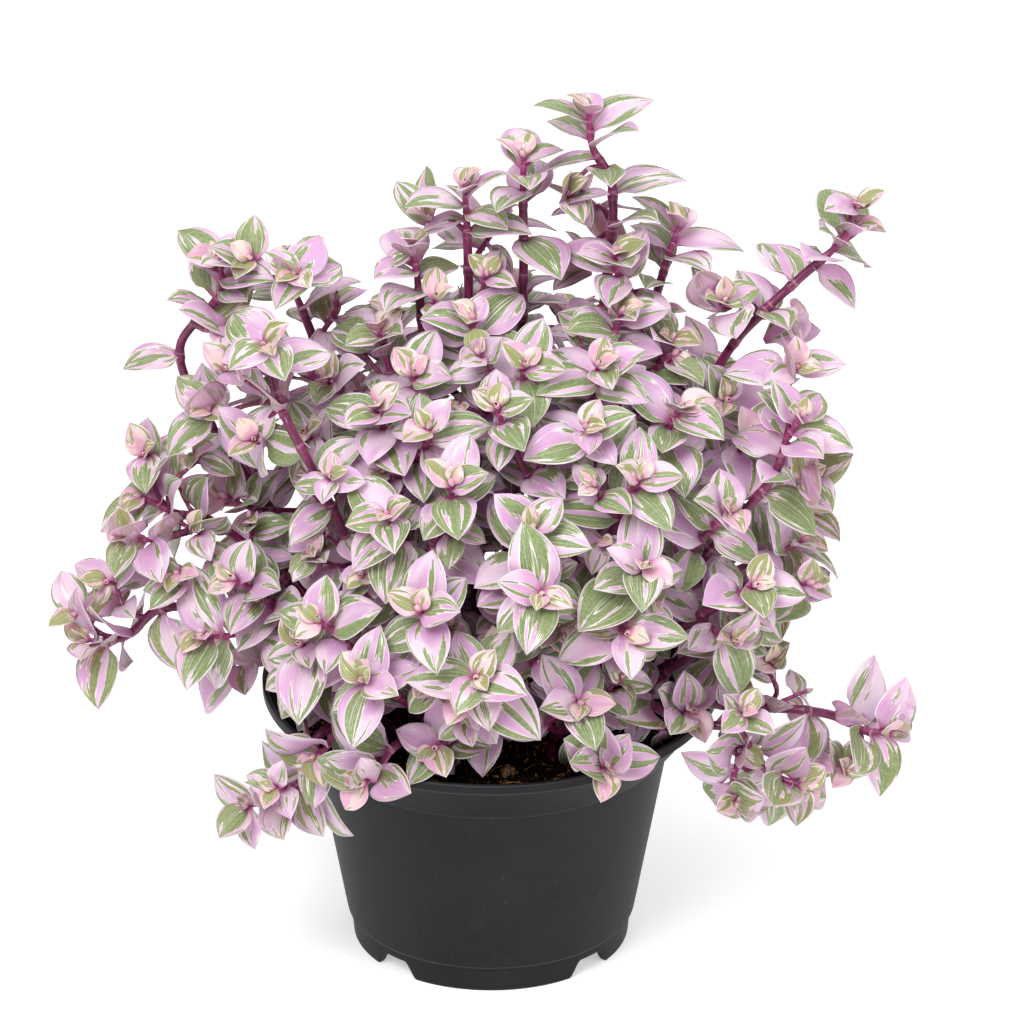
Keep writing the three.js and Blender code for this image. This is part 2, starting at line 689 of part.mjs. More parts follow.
function stemSolid(main) {
  const mesh = { points: [], triangles: [] };
  addCap(mesh, growShoot(mesh, main).toReversed());
  return solidFrom(mesh);
}

// One try at a stem with its side shoots. Later tries stray further from the regular paths.
function stemTry(stem, number, attempt) {
  const draw = draws(19, number, attempt);
  const stray = STEM_STRAY * attempt;
  const path = mainPath(stem, draw, stray);
  const places = forkPlaces(path, stem.tips.slice(1), draw, stray);
  const sides = places.map((place) => sidePath(path, place));
  const plan = ringPlan(path.length - STEM_UPRIGHT, MAIN_JOINTS, sides);
  plan.push({ distance: path.length + STEM_DEPTH });
  const phase = draws(29, number)(0, 360);
  const rings = ringsOf(path, STEM_RADIUS, plan, phase);
  const forks = sides.map((side, i) => {
    const ring = rings.findIndex(({ distance }) => distance === side.from - FORK_HALF);
    const sidePlan = ringPlan(side.path.length - FORK_REACH, SIDE_JOINTS, []);
    const sideRings = ringsOf(side.path, SHOOT_RADIUS, sidePlan, phase + 120 * (i + 1));
    const keys = [number, i + 1];
    const shoot = { keys, path: side.path, rings: sideRings, joints: SIDE_JOINTS, leaves: [], forks: [] };
    return { ring, facetNumber: rings[ring].forkFacet, shoot };
  });
  return { keys: [number, 0], path, rings, joints: MAIN_JOINTS, leaves: [], forks };
}

// ---------------------------------------------------------------- the plant put together

function boxesNear(a, b, apart) {
  return [0, 1, 2].every((i) => a.min[i] - apart < b.max[i] && b.min[i] - apart < a.max[i]);
}

// Solids that are already in place, so that what comes later is bent clear of them
class Taken {
  constructor() {
    this.solids = [];
  }

  add(owner, solid) {
    this.solids.push({ owner, solid, box: solid.boundingBox() });
  }

  isClear(solid, apart, matters) {
    const box = solid.boundingBox();
    return this.solids.every((other) => {
      if (!matters(other.owner) || !boxesNear(box, other.box, apart)) return true;
      return solid.minGap(other.solid, apart) >= apart;
    });
  }
}

// Each stem takes the first of its tries that is clear of the pot and of the stems before it.
function placeStem(stem, number, mains, taken) {
  for (let attempt = 0; attempt < STEM_TRIES; attempt++) {
    const main = stemTry(stem, number, attempt);
    const root = main.path.at(main.path.length);
    const crowded = mains.some(({ path }) => path.at(path.length).distanceTo(root) < ROOT_SPACING);
    if (!crowded && taken.isClear(stemSolid(main), GAP, () => true)) return main;
  }
  throw new Error(`no clear place for the stem ${stem.name}`);
}

// A plain square hole round the stem's buried end, down past its foot and up out of the mound
function rootHole({ rings }) {
  const [near, , far] = rings.at(-1).corners;
  const radius = STEM_RADIUS + HOLE_CLEARANCE;
  const bottom = SOIL_TOP - STEM_DEPTH - 1;
  const height = POT_HEIGHT - bottom;
  const hole = new THREE.CylinderGeometry(radius, radius, height, 4).rotateX(Math.PI / 2);
  hole.rotateZ(Math.atan2(near.y - far.y, near.x - far.x));
  const centre = near.clone().lerp(far, 0.5);
  return toSolid(hole.translate(centre.x, centre.y, bottom + height / 2));
}

// Each leaf takes the first of its tries that is clear of all else. Only its clasping base, which
// wraps its own stem, may lie against that stem's other leaves. A leaf with no clear place is left off.
function placeLeaves(shoot, taken, takenOutside) {
  const owner = shoot.keys[0];
  for (const joint of shoot.joints) {
    if (!shoot.rings.some(({ distance }) => distance === JOINTS[joint].top)) continue;
    for (let attempt = 0; attempt < LEAF_TRIES; attempt++) {
      const leaf = leafTry(shoot, joint, attempt);
      const solid = loneLeaf(leaf, true);
      const outside = loneLeaf(leaf, false);
      if (!taken.isClear(solid, GAP, (other) => other !== owner)) continue;
      if (!takenOutside.isClear(outside, LEAF_GAP, (other) => other === owner)) continue;
      taken.add(owner, solid);
      takenOutside.add(owner, outside);
      shoot.leaves.push(leaf);
      break;
    }
  }
}

const plant = new THREE.Group();

function addPiece(name, solid, colour, roughness) {
  const material = new THREE.MeshStandardMaterial({ color: colour, roughness, metalness: 0 });
  const mesh = new THREE.Mesh(toGeometry(solid), material);
  mesh.name = name;
  plant.add(mesh);
}

const pot = potSolid();
const taken = new Taken();
const takenOutside = new Taken(); // the same, but for the leaves' clasping bases
taken.add("pot", pot);

const mains = [];
for (const [number, stem] of allStems.entries()) {
  const main = placeStem(stem, number, mains, taken);
  const bare = stemSolid(main);
  taken.add(number, bare);
  takenOutside.add(number, bare);
  mains.push(main);
}
const soil = mains.reduce((mass, main) => mass.subtract(rootHole(main)), soilSolid());
taken.add("soil", soil);
for (const shoot of mains.flatMap((main) => [main, ...main.forks.map((fork) => fork.shoot)])) {
  placeLeaves(shoot, taken, takenOutside);
}

addPiece("pot", pot, "#38373a", 0.6);
addPiece("soil", soil, "#2a1d15", 0.95);
for (const [number, main] of mains.entries()) {
  addPiece(`stem_${allStems[number].name}`, stemSolid(main), "#b9a9a4", 0.5);
}

// The origin is the middle of the whole plant's footprint, on the surface that the pot stands on.
const centre = new THREE.Box3().setFromObject(plant, true).getCenter(vector(0, 0, 0));
plant.position.set(-centre.x, -centre.y, 0);

export default plant;
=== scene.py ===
"""A potted tradescantia, dressed round its frame: striped leaves, jointed stems, soil and pot.

The plant's rule works in millimetres from the pot's axis, with the floor at z = 0 and the front toward -Y.
It gives the same stems and large leaves as the frame's solids. Finer leaves, buds and short side shoots
are then added where there is room.
"""

import math

import bpy
import numpy as np
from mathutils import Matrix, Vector, noise
from mathutils.kdtree import KDTree


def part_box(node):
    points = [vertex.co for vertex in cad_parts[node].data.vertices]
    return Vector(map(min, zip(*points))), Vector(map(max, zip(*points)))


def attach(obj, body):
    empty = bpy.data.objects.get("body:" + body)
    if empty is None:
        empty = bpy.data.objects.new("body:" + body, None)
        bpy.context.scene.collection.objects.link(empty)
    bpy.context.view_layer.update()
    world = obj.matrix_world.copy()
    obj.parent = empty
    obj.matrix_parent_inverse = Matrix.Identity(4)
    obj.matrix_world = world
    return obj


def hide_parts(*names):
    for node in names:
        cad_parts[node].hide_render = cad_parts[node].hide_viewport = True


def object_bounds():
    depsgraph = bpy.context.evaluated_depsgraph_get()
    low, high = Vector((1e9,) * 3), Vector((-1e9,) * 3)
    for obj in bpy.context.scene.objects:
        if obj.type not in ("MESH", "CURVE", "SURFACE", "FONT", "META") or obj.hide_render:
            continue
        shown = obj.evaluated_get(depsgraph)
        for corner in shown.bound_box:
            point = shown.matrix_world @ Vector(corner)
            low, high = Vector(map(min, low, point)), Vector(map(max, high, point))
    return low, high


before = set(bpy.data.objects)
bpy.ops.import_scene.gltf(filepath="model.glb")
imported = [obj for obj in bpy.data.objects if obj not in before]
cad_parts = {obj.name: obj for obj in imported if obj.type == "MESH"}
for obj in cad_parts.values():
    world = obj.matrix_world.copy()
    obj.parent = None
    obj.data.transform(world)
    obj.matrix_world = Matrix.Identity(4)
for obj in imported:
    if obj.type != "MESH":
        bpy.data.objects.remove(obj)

cad_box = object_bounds()

MM = 0.001
UP = np.array([0.0, 0.0, 1.0])
CIRCLE = 2 * math.pi

# ---------------------------------------------------------------- sizes shared with the solids

POT_HEIGHT = 95.5
LIP_RADIUS = 77.5
COLLAR_Z = 75
FOOT_RADIUS = 46.5
FOOT_HEIGHT = 8.7
FLOOR_BOTTOM = 6.8
FLOOR_TOP = 8.2
NOTCH_TURN = 46
NOTCH_HEIGHT = 6
NOTCH_WIDE = 18
DRAIN_WIDTH = 11
DRAIN_INNER = 35
DRAIN_OUTER = 43.4
DRAIN_TALL = 6

GAP = 0.35
SOIL_TOP = 86
SOIL_EDGE = 67.6
SOIL_MOUND = 2

STEM_RADIUS = 1.7
SHOOT_RADIUS = 1.45
TIP_RADIUS = 0.9
STEM_DEPTH = 22
STEM_UPRIGHT = 7
STEM_CROWN = 0.06
ROOT_RING = 55
ROOT_PULL = 1.5  # how much a steep stem's root moves in
BARE_STEP = 45
RING_TWIST = 22
TIP_REACH = 13
TIP_SHARE = 0.45
TIP_CLIMB = 0.35
TIP_FACING = 0.8
SAMPLES_PER_SPAN = 12
TANGENT_HALF = 2

FORK_HALF = 1.3
FORK_REACH = 6
FIRST_FORK = 24
LAST_FORK = 0.75
FORK_SPACING = 5
SHOOT_LENGTH = 12
SHOOT_SHARE = 0.8
SHOOT_OUT = 6.5
SHOOT_UP = 5
SHOOT_TIP_REACH = 12
SHOOT_TIP_SHARE = 0.3

LEAF_HALF_WIDTH = 0.31
LEAF_ARCH = 0.2
LEAF_DROOP = 0.3
LEAF_SHORTENING = 0.05
# The joints with large leaves: distances from the tip, the leaf's length and its lift in degrees
JOINTS = [
    {"top": 4, "foot": 6.6, "leaf": 21.5, "lift": 34},
    {"top": 6.6, "foot": 10, "leaf": 25.5, "lift": 20},
    {"top": 16, "foot": 18.6, "leaf": 27, "lift": 12},
    {"top": 30, "foot": 32.6, "leaf": 26.5, "lift": 6},
]
MAIN_JOINTS = [0, 1, 2, 3]
SIDE_JOINTS = [0, 1]
FACET_ORDER = [1, 3, 0, 2]
JOINT_TO_FORK = 7

STEM_TRIES = 900
STEM_STRAY = 0.2
LEAF_TRIES = 14
LEAF_STRAY = 6
LEAF_STRAY_STEP = 4
LEAF_STRAY_MOST = 50
LEAF_SHRINK = 0.025

VIEW_TILT = math.radians(28)
DOME = {"across": 8, "depth": 2, "height": 88, "wide": 112, "deep": 108, "tall": 148}

# Stems that the photo shows: name, tips, and the points that the main stem passes. Each point is across,
# rise in the tilted view, and depth, which is the dome's own where it isn't given.
FRONT_STEMS = [
    ("crown_right", [(33, 276, 42), (31, 246, 50)], [(41, 250, 36)]),
    ("crown", [(11, 261, 38)], [(11, 215, 34)]),
    ("crown_left", [(-9, 251, 34), (2, 240, 46)], []),
    ("upper_left", [(-27, 231, 28), (-19, 213, 16)], []),
    ("upper_mid", [(64, 238, 40), (42, 228, 20)], []),
    ("right_branch", [(124, 238, 30), (101, 207, 24)], [(79, 193, 22), (92, 208, 24), (105, 220, 27)]),
    ("right_arm", [(105, 173, -24)], [(77, 131, -30), (96, 154, -28)]),
    ("upper_right", [(61, 199), (36, 190)], []),
    ("shoulder_right", [(64, 176), (32, 169)], []),
    ("side_right", [(81, 141), (106, 131)], []),
    ("face_top", [(50, 152), (2, 176)], []),
    ("low_right", [(89, 116), (82, 97, -58)], []),
    ("face_right", [(52, 123), (46, 100, -80)], []),
    ("face_centre", [(14, 135), (17, 113, -90)], []),
    ("face_left", [(-39, 176), (-21, 169)], []),
    ("chest_left", [(-35, 140), (-13, 150)], []),
    ("arch_left", [(-92, 226, 16), (-87, 204, 2)], [(-96, 172, 22), (-105, 196, 22)]),
    ("top_left", [(-71, 224), (-52, 213)], []),
    ("crest_left", [(-38, 202, 10), (-26, 187, -14)], []),
    ("crest", [(-6, 206, 4), (12, 190, -26)], []),
    ("crest_back", [(10, 217, 46), (-20, 210, 50)], []),
    ("crest_right", [(44, 208, 8), (62, 194, 4)], []),
    ("shoulder_left", [(-77, 190)], [(-55, 145, -34), (-69, 172, -36)]),
    ("side_left", [(-119, 146, 0), (-124, 132, -14)], [(-92, 136, -4)]),
    ("flank_left", [(-87, 118), (-98, 99, -36)], []),
    ("far_left", [(-137, 97, -6)], [(-72, 100, -4), (-111, 108, -6)]),
    ("spill_left", [(-73, 43, -50)], [(-44, 70, -42), (-57, 65, -52)]),
    ("rim_left", [(-60, 58, -62)], [(-46, 72, -46), (-53, 66, -57)]),
    ("rim_front_left", [(-43, 49, -76)], [(-24, 65, -52), (-33, 61, -68)]),
    ("waist_left", [(-43, 84), (-58, 104)], []),
    ("waist", [(-5, 85), (-24, 108)], []),
    ("rim_front", [(-19, 61, -70)], [(-8, 70, -50)]),
    ("rim_front_right", [(40, 53, -76), (30, 76, -78)], [(28, 67, -58)]),
    ("trail_right", [(136, 66, -35)], [(62, 76, -28), (88, 75, -32), (114, 71, -34)]),
    ("trail_low", [(105, 48, -57), (83, 42, -62)], [(60, 68, -46), (82, 67, -52)]),
]
# Stems that reach the dome's back, between two climbs and two headings in degrees
BACK_STEMS = 12
BACK_LOW = 26
BACK_HIGH = 62
BACK_FROM = 8
BACK_TO = 172
BACK_STRAY = (-3, 3)
BACK_SIDE_STRAY = (-12, 2)
GOLDEN_SHARE = 0.618034
SIDE_SHOOT_TURN = 21
# Stems that hang round the dome's foot
SKIRT_STEMS = 11
SKIRT_FROM = -38
SKIRT_TO = 212
SKIRT_REACH = 86
SKIRT_HEIGHT = 118
SKIRT_SIDE_TURN = 13
SKIRT_SIDE_CLIMB = 26
SKIRT_TURN_STRAY = (-4, 4)
SKIRT_REACH_STRAY = (-6, 10)
SKIRT_HEIGHT_STRAY = (-8, 8)

# ---------------------------------------------------------------- sizes of what the scene adds

MATCH = 0.05  # mm between a point of the rule and the solids' own corner
LEAF_THICK = 0.55
LEAF_COLUMNS = 9
LEAF_ROWS = 13
TUBE_SIDES = 12
JOINT_STEP = 14  # between the joints of the bare stem
LOW_JOINTS_FROM = 45
LOW_LIFT = 4  # in degrees, of the leaves there
CELL = 1.5  # of the map of taken space
COVER_STEP = 1.1  # between the points that stand for a blade in the map
MAP_MARGIN = 8
POT_MARK = -1  # the owner of cells that the pot's wall takes
STEM_MARK = -2
ADDED = 100  # the second key of an added shoot is this or more

ROLL_MOST = 74  # degrees that a blade turns on its own line toward the light
ROLL_TRIES = (1, 0.8, 0.6, 0.4, 0.2)
ROLL_FROM = 0.24  # of the blade's length, past which it has all of its roll
FRONT_LIGHT = (0, -0.65, 0.8)
BACK_LIGHT = (0, 0.55, 0.8)
BACK_LIGHT_FROM = 12  # depths between which the light goes over from front to back
BACK_LIGHT_TO = 66
LIGHT_OUTWARD = 0.45
CUP = 0.17  # how far the edges of a grown blade rise
YOUNG_CUP = 0.22  # and how much further those of the youngest do
KEEL = 0.16  # of the half width, over which the fold at the midrib is rounded
BASE_FOLD = 0.7  # how much further the clasping base folds
BASE_FOLD_TO = 0.16  # of the length
CURL_FROM = 0.72  # of the length, past which the tip curls down
CURL_OVER = 0.28
WAVES = 7  # in radians over a blade's length
BLADE_FLAT = 0.6  # how much thinner a blade is at its edge than at its midrib
FINE_BLADE = 12  # blades longer than this have all their rows and columns

# Leaves round the tip that the solids don't have: distance from the tip, length, lift, facet, age
TIP_LEAVES = [
    (10.6, 21, 19, 0, 0.8),
    (3.2, 16, 30, 0, 0.45),
    (13, 22, 15, 2, 0.85),
    (1.6, 12.5, 36, 2, 0.3),
    (0.4, 9, 46, 1, 0.15),
    (22, 23, 9, 1, 1.0),
]
YOUNG_BREADTH = 0.34  # how much broader the youngest blades are

# Rosettes that the photo shows on short side shoots: across, rise in the tilted view, and depth
EXTRA_TIPS = [(79, 212, 20), (103, 189, -10), (-66, 221, -2), (-107, 149, -2), (-100, 134, -12),
              (-83, 41, -50), (-95, 175, -12), (-80, 165, -30), (-89, 189, -20), (-76, 197, -35),
              (34, 225, 38), (-141, 106, -4), (-117, 160, 4), (-101, 160, 0), (84, 60, -55),
              (-21, 240, 34), (106, 152, -26), (-106, 120, -22), (-130, 117, -6), (120, 53, -40),
              (26, 248, 28), (124, 244, 28), (-81, 226, 8), (95, 90, -34)]
# Openings beside the plant that what is added leaves clear: across from and to, rise from and to
CLEAR = [(103, 130, 80, 110), (117, 140, 97, 151), (-110, -83, 56, 78), (-50, -31, 224, 250)]
EXTRA_FROM = 14  # the nearest place on a stem that their shoots leave from
EXTRA_FORWARD = (0, -1.2, 0.5)  # how much they face the front, against one part outward
# Joints of these and of the short shoots: distance from the tip, the leaf's length, lift and facet
EXTRA_JOINTS = [(5.2, 20, 30, 1), (8, 24, 16, 3), (14, 24, 8, 2), (24, 22, 4, 0)]
SHORT_JOINTS = [(5, 16, 36, 1), (8.5, 19, 22, 3), (15, 19, 10, 0)]
SHORT_STARTS = (22, 25.5, 29)  # distances from a stem's tip at which each round of short shoots starts
SHORT_STEP = 7
SHORT_TO_FORK = 4
SHORT_TRIES = 7
JOINT_BEHIND = 1.3  # from where a leaf leaves the stem back to the middle of the swollen joint
FOOT_CLEAR = 8  # no shoot leaves the last stretch of a stem
ADDED_RADIUS = 1.05  # of an added shoot

# ---------------------------------------------------------------- repeatable draws

DRAW_SEED = 7
DRAW_TIMES = 1664525
DRAW_PLUS = 1013904223
DRAW_RANGE = 2**32
KEY_TIMES = 40503
# The first key of each kind of draw
BACK_DRAW, SKIRT_DRAW, SIZE_DRAW, LEAF_DRAW, STEM_DRAW, PHASE_DRAW = 5, 6, 13, 17, 19, 29
LOOK_DRAW, BARK_DRAW, FREE_DRAW, SHORT_DRAW, BUD_DRAW, EXTRA_DRAW = 31, 37, 41, 43, 47, 53
# The last key of the first added leaf of each kind, and of the first rosette's shoot
TIP_KEY, LOW_KEY, SHORT_KEY, EXTRA_KEY, ROSETTE_KEY = 50, 60, 70, 80, 2000


def draws(*key):
    """Evenly spread draws from a numeric key, the same for the same key."""
    seed = DRAW_SEED

    def step():
        nonlocal seed
        seed = (seed * DRAW_TIMES + DRAW_PLUS) % DRAW_RANGE
        return seed / DRAW_RANGE

    for part in key:
        seed = (seed + part * KEY_TIMES) % DRAW_RANGE
        step()
    step()
    return lambda low, high: low + (high - low) * step()


def vector(x, y, z):
    return np.array([x, y, z], float)


def unit(direction):
    return direction / math.sqrt(direction @ direction)


def apart(a, b):
    return math.sqrt((a - b) @ (a - b))


def smooth(share):
    share = np.clip(share, 0, 1)
    return share * share * (3 - 2 * share)


def square_to(direction, along):
    return unit(direction - along * (direction @ along))


def any_side(along):
    """A direction square to a path: a level one, unless the path is nearly upright."""
    return unit(np.cross(along, vector(1, 0, 0) if abs(along[2]) > 0.9 else UP))


# ---------------------------------------------------------------- where the stems go


def on_dome(across, rise):
    """The depth of the dome's nearest point on the line of sight through a place in the picture."""
    slope = math.tan(VIEW_TILT)
    height = rise / math.cos(VIEW_TILT) - DOME["height"]
    share = 1 - ((across - DOME["across"]) / DOME["wide"]) ** 2
    a = 1 / DOME["deep"] ** 2 + (slope / DOME["tall"]) ** 2
    b = -2 * DOME["depth"] / DOME["deep"] ** 2 - (2 * height * slope) / DOME["tall"] ** 2
    c = (DOME["depth"] / DOME["deep"]) ** 2 + (height / DOME["tall"]) ** 2 - share
    inside = max(b * b - 4 * a * c, 0)
    return (-b - math.sqrt(inside)) / (2 * a)


def seen(across, rise, depth=None):
    if depth is None:
        depth = on_dome(across, rise)
    height = (rise - depth * math.sin(VIEW_TILT)) / math.cos(VIEW_TILT)
    return vector(across, depth, height)


def in_the_clear(point):
    rise = point[2] * math.cos(VIEW_TILT) + point[1] * math.sin(VIEW_TILT)
    return any(left < point[0] < right and low < rise < high for left, right, low, high in CLEAR)


def facing(tip):
    """Out from the dome, turned a little up."""
    out = vector(
        (tip[0] - DOME["across"]) / DOME["wide"] ** 2,
        (tip[1] - DOME["depth"]) / DOME["deep"] ** 2,
        max(tip[2] - DOME["height"], 0) / DOME["tall"] ** 2,
    )
    return unit(unit(out) + UP * TIP_CLIMB)


def far_tip(turn, climb):
    heading = math.radians(turn)
    level = math.cos(math.radians(climb))
    return vector(
        DOME["across"] + DOME["wide"] * level * math.cos(heading),
        DOME["depth"] + DOME["deep"] * level * math.sin(heading),
        DOME["height"] + DOME["tall"] * math.sin(math.radians(climb)),
    )


def far_stem(number):
    spread = (number + 0.5) / BACK_STEMS
    turn = BACK_FROM + (BACK_TO - BACK_FROM) * ((number * GOLDEN_SHARE) % 1)
    climb = BACK_LOW + (BACK_HIGH - BACK_LOW) * spread
    aside = SIDE_SHOOT_TURN / math.cos(math.radians(climb))
    draw = draws(BACK_DRAW, number)
    tips = [
        far_tip(turn, climb + draw(*BACK_STRAY)),
        far_tip(turn + aside, climb + draw(*BACK_SIDE_STRAY)),
        far_tip(turn - aside, climb + draw(*BACK_SIDE_STRAY)),
    ]
    return f"back_{number + 1}", tips, []


def skirt_stem(number):
    turn = SKIRT_FROM + ((SKIRT_TO - SKIRT_FROM) * number) / (SKIRT_STEMS - 1)
    draw = draws(SKIRT_DRAW, number)

    def tip(aside, higher):
        heading = math.radians(turn + aside + draw(*SKIRT_TURN_STRAY))
        reach = SKIRT_REACH + draw(*SKIRT_REACH_STRAY)
        height = SKIRT_HEIGHT + higher + draw(*SKIRT_HEIGHT_STRAY)
        return vector(reach * math.cos(heading), reach * math.sin(heading), height)

    return f"skirt_{number + 1}", [tip(0, 0), tip(SKIRT_SIDE_TURN, SKIRT_SIDE_CLIMB)], []


def all_stems():
    front = [(name, [seen(*t) for t in tips], [seen(*v) for v in via]) for name, tips, via in FRONT_STEMS]
    back = [far_stem(number) for number in range(BACK_STEMS)]
    return front + back + [skirt_stem(number) for number in range(SKIRT_STEMS)]


def root_place(toward, draw, stray):
    heading = math.atan2(toward[1], toward[0])
    climb = math.atan2(toward[2] - SOIL_TOP, math.hypot(toward[0], toward[1]))
    reach = ROOT_RING * (1 - climb / math.pi * ROOT_PULL)
    x = reach * math.cos(heading) + draw(-stray, stray)
    y = reach * math.sin(heading) + draw(-stray, stray)
    outside = max(math.hypot(x, y) / ROOT_RING, 1)
    return vector(x / outside, y / outside, SOIL_TOP)


# ---------------------------------------------------------------- stems


def smooth_samples(points):
    """Centripetal Catmull-Rom samples through the points."""
    ends = [2 * points[0] - points[1], *points, 2 * points[-1] - points[-2]]
    samples = []
    total = SAMPLES_PER_SPAN * (len(points) - 1)
    for index in range(total + 1):
        place = (len(points) - 1) * (index / total)
        span = min(int(place), len(points) - 2)
        share = place - span
        p0, p1, p2, p3 = ends[span : span + 4]
        d0, d1, d2 = (((a - b) @ (a - b)) ** 0.25 for a, b in ((p0, p1), (p1, p2), (p2, p3)))
        start = ((p1 - p0) / d0 - (p2 - p0) / (d0 + d1) + (p2 - p1) / d1) * d1
        end = ((p2 - p1) / d1 - (p3 - p1) / (d1 + d2) + (p3 - p2) / d2) * d1
        square = -3 * p1 + 3 * p2 - 2 * start - end
        cube = 2 * p1 - 2 * p2 + start + end
        samples.append(p1 + start * share + square * share**2 + cube * share**3)
    return samples


class Path:
    """A smooth path read by the distance back from its tip. Past its foot it runs straight down."""

    def __init__(self, points):
        self.samples = np.array(smooth_samples(points)[::-1])
        steps = np.linalg.norm(np.diff(self.samples, axis=0), axis=1)
        self.distances = np.concatenate([[0], np.cumsum(steps)])
        self.length = float(self.distances[-1])

    def at(self, distance):
        if distance >= self.length:
            return self.samples[-1] + UP * (self.length - distance)
        i = max(int(np.searchsorted(self.distances, distance)), 1)
        share = (distance - self.distances[i - 1]) / (self.distances[i] - self.distances[i - 1])
        return self.samples[i - 1] * (1 - share) + self.samples[i] * share

    def along(self, distance):
        """Toward the tip."""
        ahead = self.at(max(distance - TANGENT_HALF, 0))
        return unit(ahead - self.at(max(distance, TANGENT_HALF) + TANGENT_HALF))


def before_tip(tip, last, reach):
    turn = unit(facing(tip) * TIP_FACING + unit(tip - last))
    return tip - turn * reach


def main_path(tips, via, draw, stray):
    root = root_place(via[0] if via else tips[0], draw, stray)
    start = root + UP * STEM_UPRIGHT
    passes = list(via)
    if not passes:
        passes = [(start + tips[0]) / 2 + UP * STEM_CROWN * apart(start, tips[0])]
    passes = [p + vector(draw(-stray, stray), draw(-stray, stray), draw(0, 0.5 * stray)) for p in passes]
    reach = min(TIP_REACH, TIP_SHARE * apart(passes[-1], tips[0]))
    return Path([root, start, *passes, before_tip(tips[0], passes[-1], reach), tips[0]])


def fork_places(main, tips, draw, stray):
    places = []
    for tip in tips:
        wanted = apart(main.at(0), tip) * SHOOT_SHARE + SHOOT_LENGTH + draw(-stray, stray)
        places.append([min(max(wanted, FIRST_FORK), main.length * LAST_FORK), tip])
    places.sort(key=lambda place: place[0])
    for i in range(1, len(places)):
        places[i][0] = max(places[i][0], places[i - 1][0] + FORK_SPACING)
    return places


def side_path(main, origin, tip):
    start = main.at(origin)
    toward = square_to(tip - start, main.along(origin))
    second = start + toward * SHOOT_OUT + main.along(origin) * SHOOT_UP
    reach = min(SHOOT_TIP_REACH, apart(second, tip) * SHOOT_TIP_SHARE)
    return Path([start, second, before_tip(tip, second, reach), tip]), toward


def ring_plan(end, joints, forks):
    plan = [(0, None)]
    for joint in (JOINTS[number] for number in joints):
        free = all(abs(origin - joint["foot"]) > JOINT_TO_FORK for origin, _ in forks)
        if not free or joint["foot"] > end - FORK_SPACING:
            continue
        for distance in (joint["top"], joint["foot"]):
            if plan[-1][0] < distance:
                plan.append((distance, None))
    for origin, toward in forks:
        plan += [(origin - FORK_HALF, toward), (origin + FORK_HALF, toward)]
    plan.sort(key=lambda ring: ring[0])
    bare = end - plan[-1][0]
    steps = max(math.floor(bare / BARE_STEP + 0.5), 1)
    plan += [(end - bare * (1 - step / steps), None) for step in range(1, steps + 1)]
    return plan


def rings_of(path, radius, plan, phase):
    """Square rings along the path, each turned a little further round than the last."""
    side = any_side(path.along(0))
    turn = phase
    rings = []
    for distance, toward in plan:
        along = UP if distance > path.length else path.along(distance)
        side = square_to(side, along)
        other = np.cross(along, side)
        turn += RING_TWIST
        if toward is not None:
            wanted = math.degrees(math.atan2(toward @ other, toward @ side))
            turn += (wanted - turn + 45) % 90 - 45
        size = TIP_RADIUS if distance == 0 else radius
        angle = math.radians(turn - 45)
        corner = path.at(distance) + side * size * math.cos(angle) + other * size * math.sin(angle)
        rings.append({"distance": distance, "along": along, "side": side, "other": other,
                      "turn": turn, "corner": corner})
    return rings


class Shoot:
    """A stem or side shoot: its path, its rings, and the leaves that it carries."""

    def __init__(self, owner, keys, path, rings, radius, joints=()):
        self.owner = owner
        self.keys = keys
        self.path = path
        self.rings = rings
        self.radius = radius
        self.joints = joints
        self.leaves = []
        self.forks = []  # distances at which its side shoots leave
        self.nodes = []  # distances of its swollen joints
        self.end = path.length

    def frame(self, distance):
        """The nearest ring's side and turn, squared to the path at a distance from the tip."""
        ring = min(self.rings, key=lambda one: abs(one["distance"] - distance))
        along = self.path.along(distance)
        side = square_to(ring["side"], along)
        return along, side, np.cross(along, side), ring["turn"]


def stem_try(number, tips, via, attempt):
    draw = draws(STEM_DRAW, number, attempt)
    stray = STEM_STRAY * attempt
    path = main_path(tips, via, draw, stray)
    places = fork_places(path, tips[1:], draw, stray)
    sides = [(origin, *side_path(path, origin, tip)) for origin, tip in places]
    plan = ring_plan(path.length - STEM_UPRIGHT, MAIN_JOINTS, [(o, toward) for o, _, toward in sides])
    plan.append((path.length + STEM_DEPTH, None))
    phase = draws(PHASE_DRAW, number)(0, 360)
    rings = rings_of(path, STEM_RADIUS, plan, phase)
    main = Shoot(number, (number, 0), path, rings, STEM_RADIUS, MAIN_JOINTS)
    main.end = path.length + STEM_DEPTH
    main.forks = [origin for origin, _, _ in sides]
    shoots = [main]
    for i, (_, side, _) in enumerate(sides):
        side_plan = ring_plan(side.length - FORK_REACH, SIDE_JOINTS, [])
        rings = rings_of(side, SHOOT_RADIUS, side_plan, phase + 120 * (i + 1))
        shoots.append(Shoot(number, (number, i + 1), side, rings, SHOOT_RADIUS, SIDE_JOINTS))
    return shoots


class Corners:
    """The corners of one of the frame's solids, in the rule's millimetres."""

    def __init__(self, node, axis):
        points = np.array([v.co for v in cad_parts[node].data.vertices]) / MM - axis
        lowest = points[points[:, 2] < points[:, 2].min() + MATCH]
        self.foot = (lowest.min(0) + lowest.max(0)) / 2
        self.tree = KDTree(len(points))
        for i, point in enumerate(points):
            self.tree.insert(point, i)
        self.tree.balance()

    def has(self, point):
        return self.tree.find(point)[2] < MATCH


